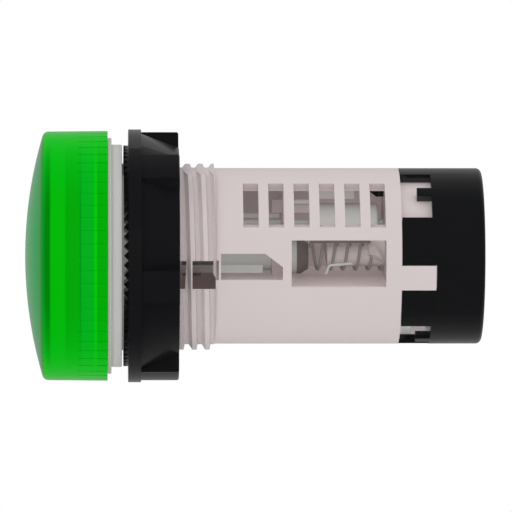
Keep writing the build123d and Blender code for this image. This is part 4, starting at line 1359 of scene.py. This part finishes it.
# %% Series resistor
coat_trim, end_round = 0.2, 0.5
resistor_front, resistor_rear = axis_span("series_resistor")
resistor_low, resistor_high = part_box("series_resistor")
resistor_radius = (resistor_high.z - resistor_low.z) / 2 / mm - coat_trim
resistor_outline = [(resistor_front, 0)]
resistor_outline += arc((resistor_front + end_round, resistor_radius - end_round), end_round,
                        180, 90)
resistor_outline += arc((resistor_rear - end_round, resistor_radius - end_round), end_round,
                        90, 0)
resistor_outline += [(resistor_rear, 0)]
resistor = lathe("resistor_body", resistor_outline, 128)
resistor_middle = (resistor_low + resistor_high) / 2
resistor.data.transform(Matrix.Translation((0, resistor_middle.y, resistor_middle.z)))
soften(resistor, 0)
dress(resistor, ceramic_grey, "series_resistor", "base")

# %% [markdown]
# The small parts keep their CAD shape: the terminal carrier, the strip, the rail, the wires,
# and the terminals inside the cap. Drawing them again would gain nothing. Their meshes are
# loose triangles, so each is copied, merged and given smooth shading with sharp edges, and it
# stands for its CAD node.

# %% Refining a CAD piece
def refine(node, body, material, bevel=0.0):
    """A merged and shaded copy of a CAD node's mesh."""
    copy = bpy.data.objects.new(node + "_fine", frame["nodes"][node].data.copy())
    bpy.context.scene.collection.objects.link(copy)
    shape = bmesh.new()
    shape.from_mesh(copy.data)
    bmesh.ops.remove_doubles(shape, verts=shape.verts, dist=1e-6)
    bmesh.ops.dissolve_limit(shape, angle_limit=math.radians(1), verts=shape.verts,
                             edges=shape.edges)
    bmesh.ops.recalc_face_normals(shape, faces=shape.faces)
    shape.to_mesh(copy.data)
    shape.free()
    soften(copy, bevel)
    return dress(copy, material, node, body)


refine("terminal_carrier", "base", ivory_carrier)

# %% [markdown]
# The carrier's post reaches into the spring a little further than in the CAD. A short turned
# tip with a chamfer makes up the difference.

# %% Tip of the carrier's post
post_front, post_radius = 23.79, 1.2
tip_chamfer, tip_length = 0.1, 0.6
post_tip = lathe("post_tip", [(post_front, 0), (post_front, post_radius - tip_chamfer),
                              (post_front + tip_chamfer, post_radius),
                              (post_front + tip_length, post_radius),
                              (post_front + tip_length, 0)])
soften(post_tip, 0)
dress(post_tip, ivory_carrier, "terminal_carrier", "base", extra=True)

# %% [markdown]
# The strip, the rail and the resistor's wires show in the windows and slots, and the terminals
# in the lower notch. A bevel of a few hundredths gives the plated ones their edge highlights.

# %% Contacts, wires and terminals
refine("contact_strip", "base", plated, 0.03)
refine("contact_rail", "base", rail_metal, 0.03)
refine("resistor_lead_front", "base", tinned)
refine("resistor_lead_rear", "base", tinned)
for number in range(1, terminals + 1):
    refine(f"terminal_plate_{number}", "base", plated, 0.05)
    refine(f"wire_clamp_{number}", f"clamp_{number}", plated, 0.05)
    refine(f"terminal_screw_{number}", f"screw_{number}", plated, 0.05)

# %% [markdown]
# Behind the upper slots run three thin metal strips, and the cap's inner rib shows as a black
# wedge in the last slot. They are too small for the CAD, so they are made here, each as a
# thin upright plate from its outline in side view.

# %% Strips behind the slots
def plate(name, outline, near_y, far_y, material):
    """A thin upright plate on the housing, from an (x, z) outline."""
    piece = prism(name, outline, "xz", near_y, far_y)
    soften(piece, 0.03)
    return dress(piece, material, "housing", "base", extra=True)


plate("front_strip", oblong(11.5, 18.4, 4.42, 4.93), 2.2, 2.6, strip_metal)
plate("middle_strip", oblong(19.4, 22.3, 6.03, 6.5), -3.1, -2.7, strip_metal)
plate("rear_strip", oblong(22.35, 26.9, 6.6, 7.5), -3.1, -2.7, strip_metal)
rib_outline = [(28.5, 7.6), (30.3, 7.65), (30.3, 6.85), (29.4, 6.85)]
plate("rear_wedge", rib_outline, -3.1, -2.7, black)
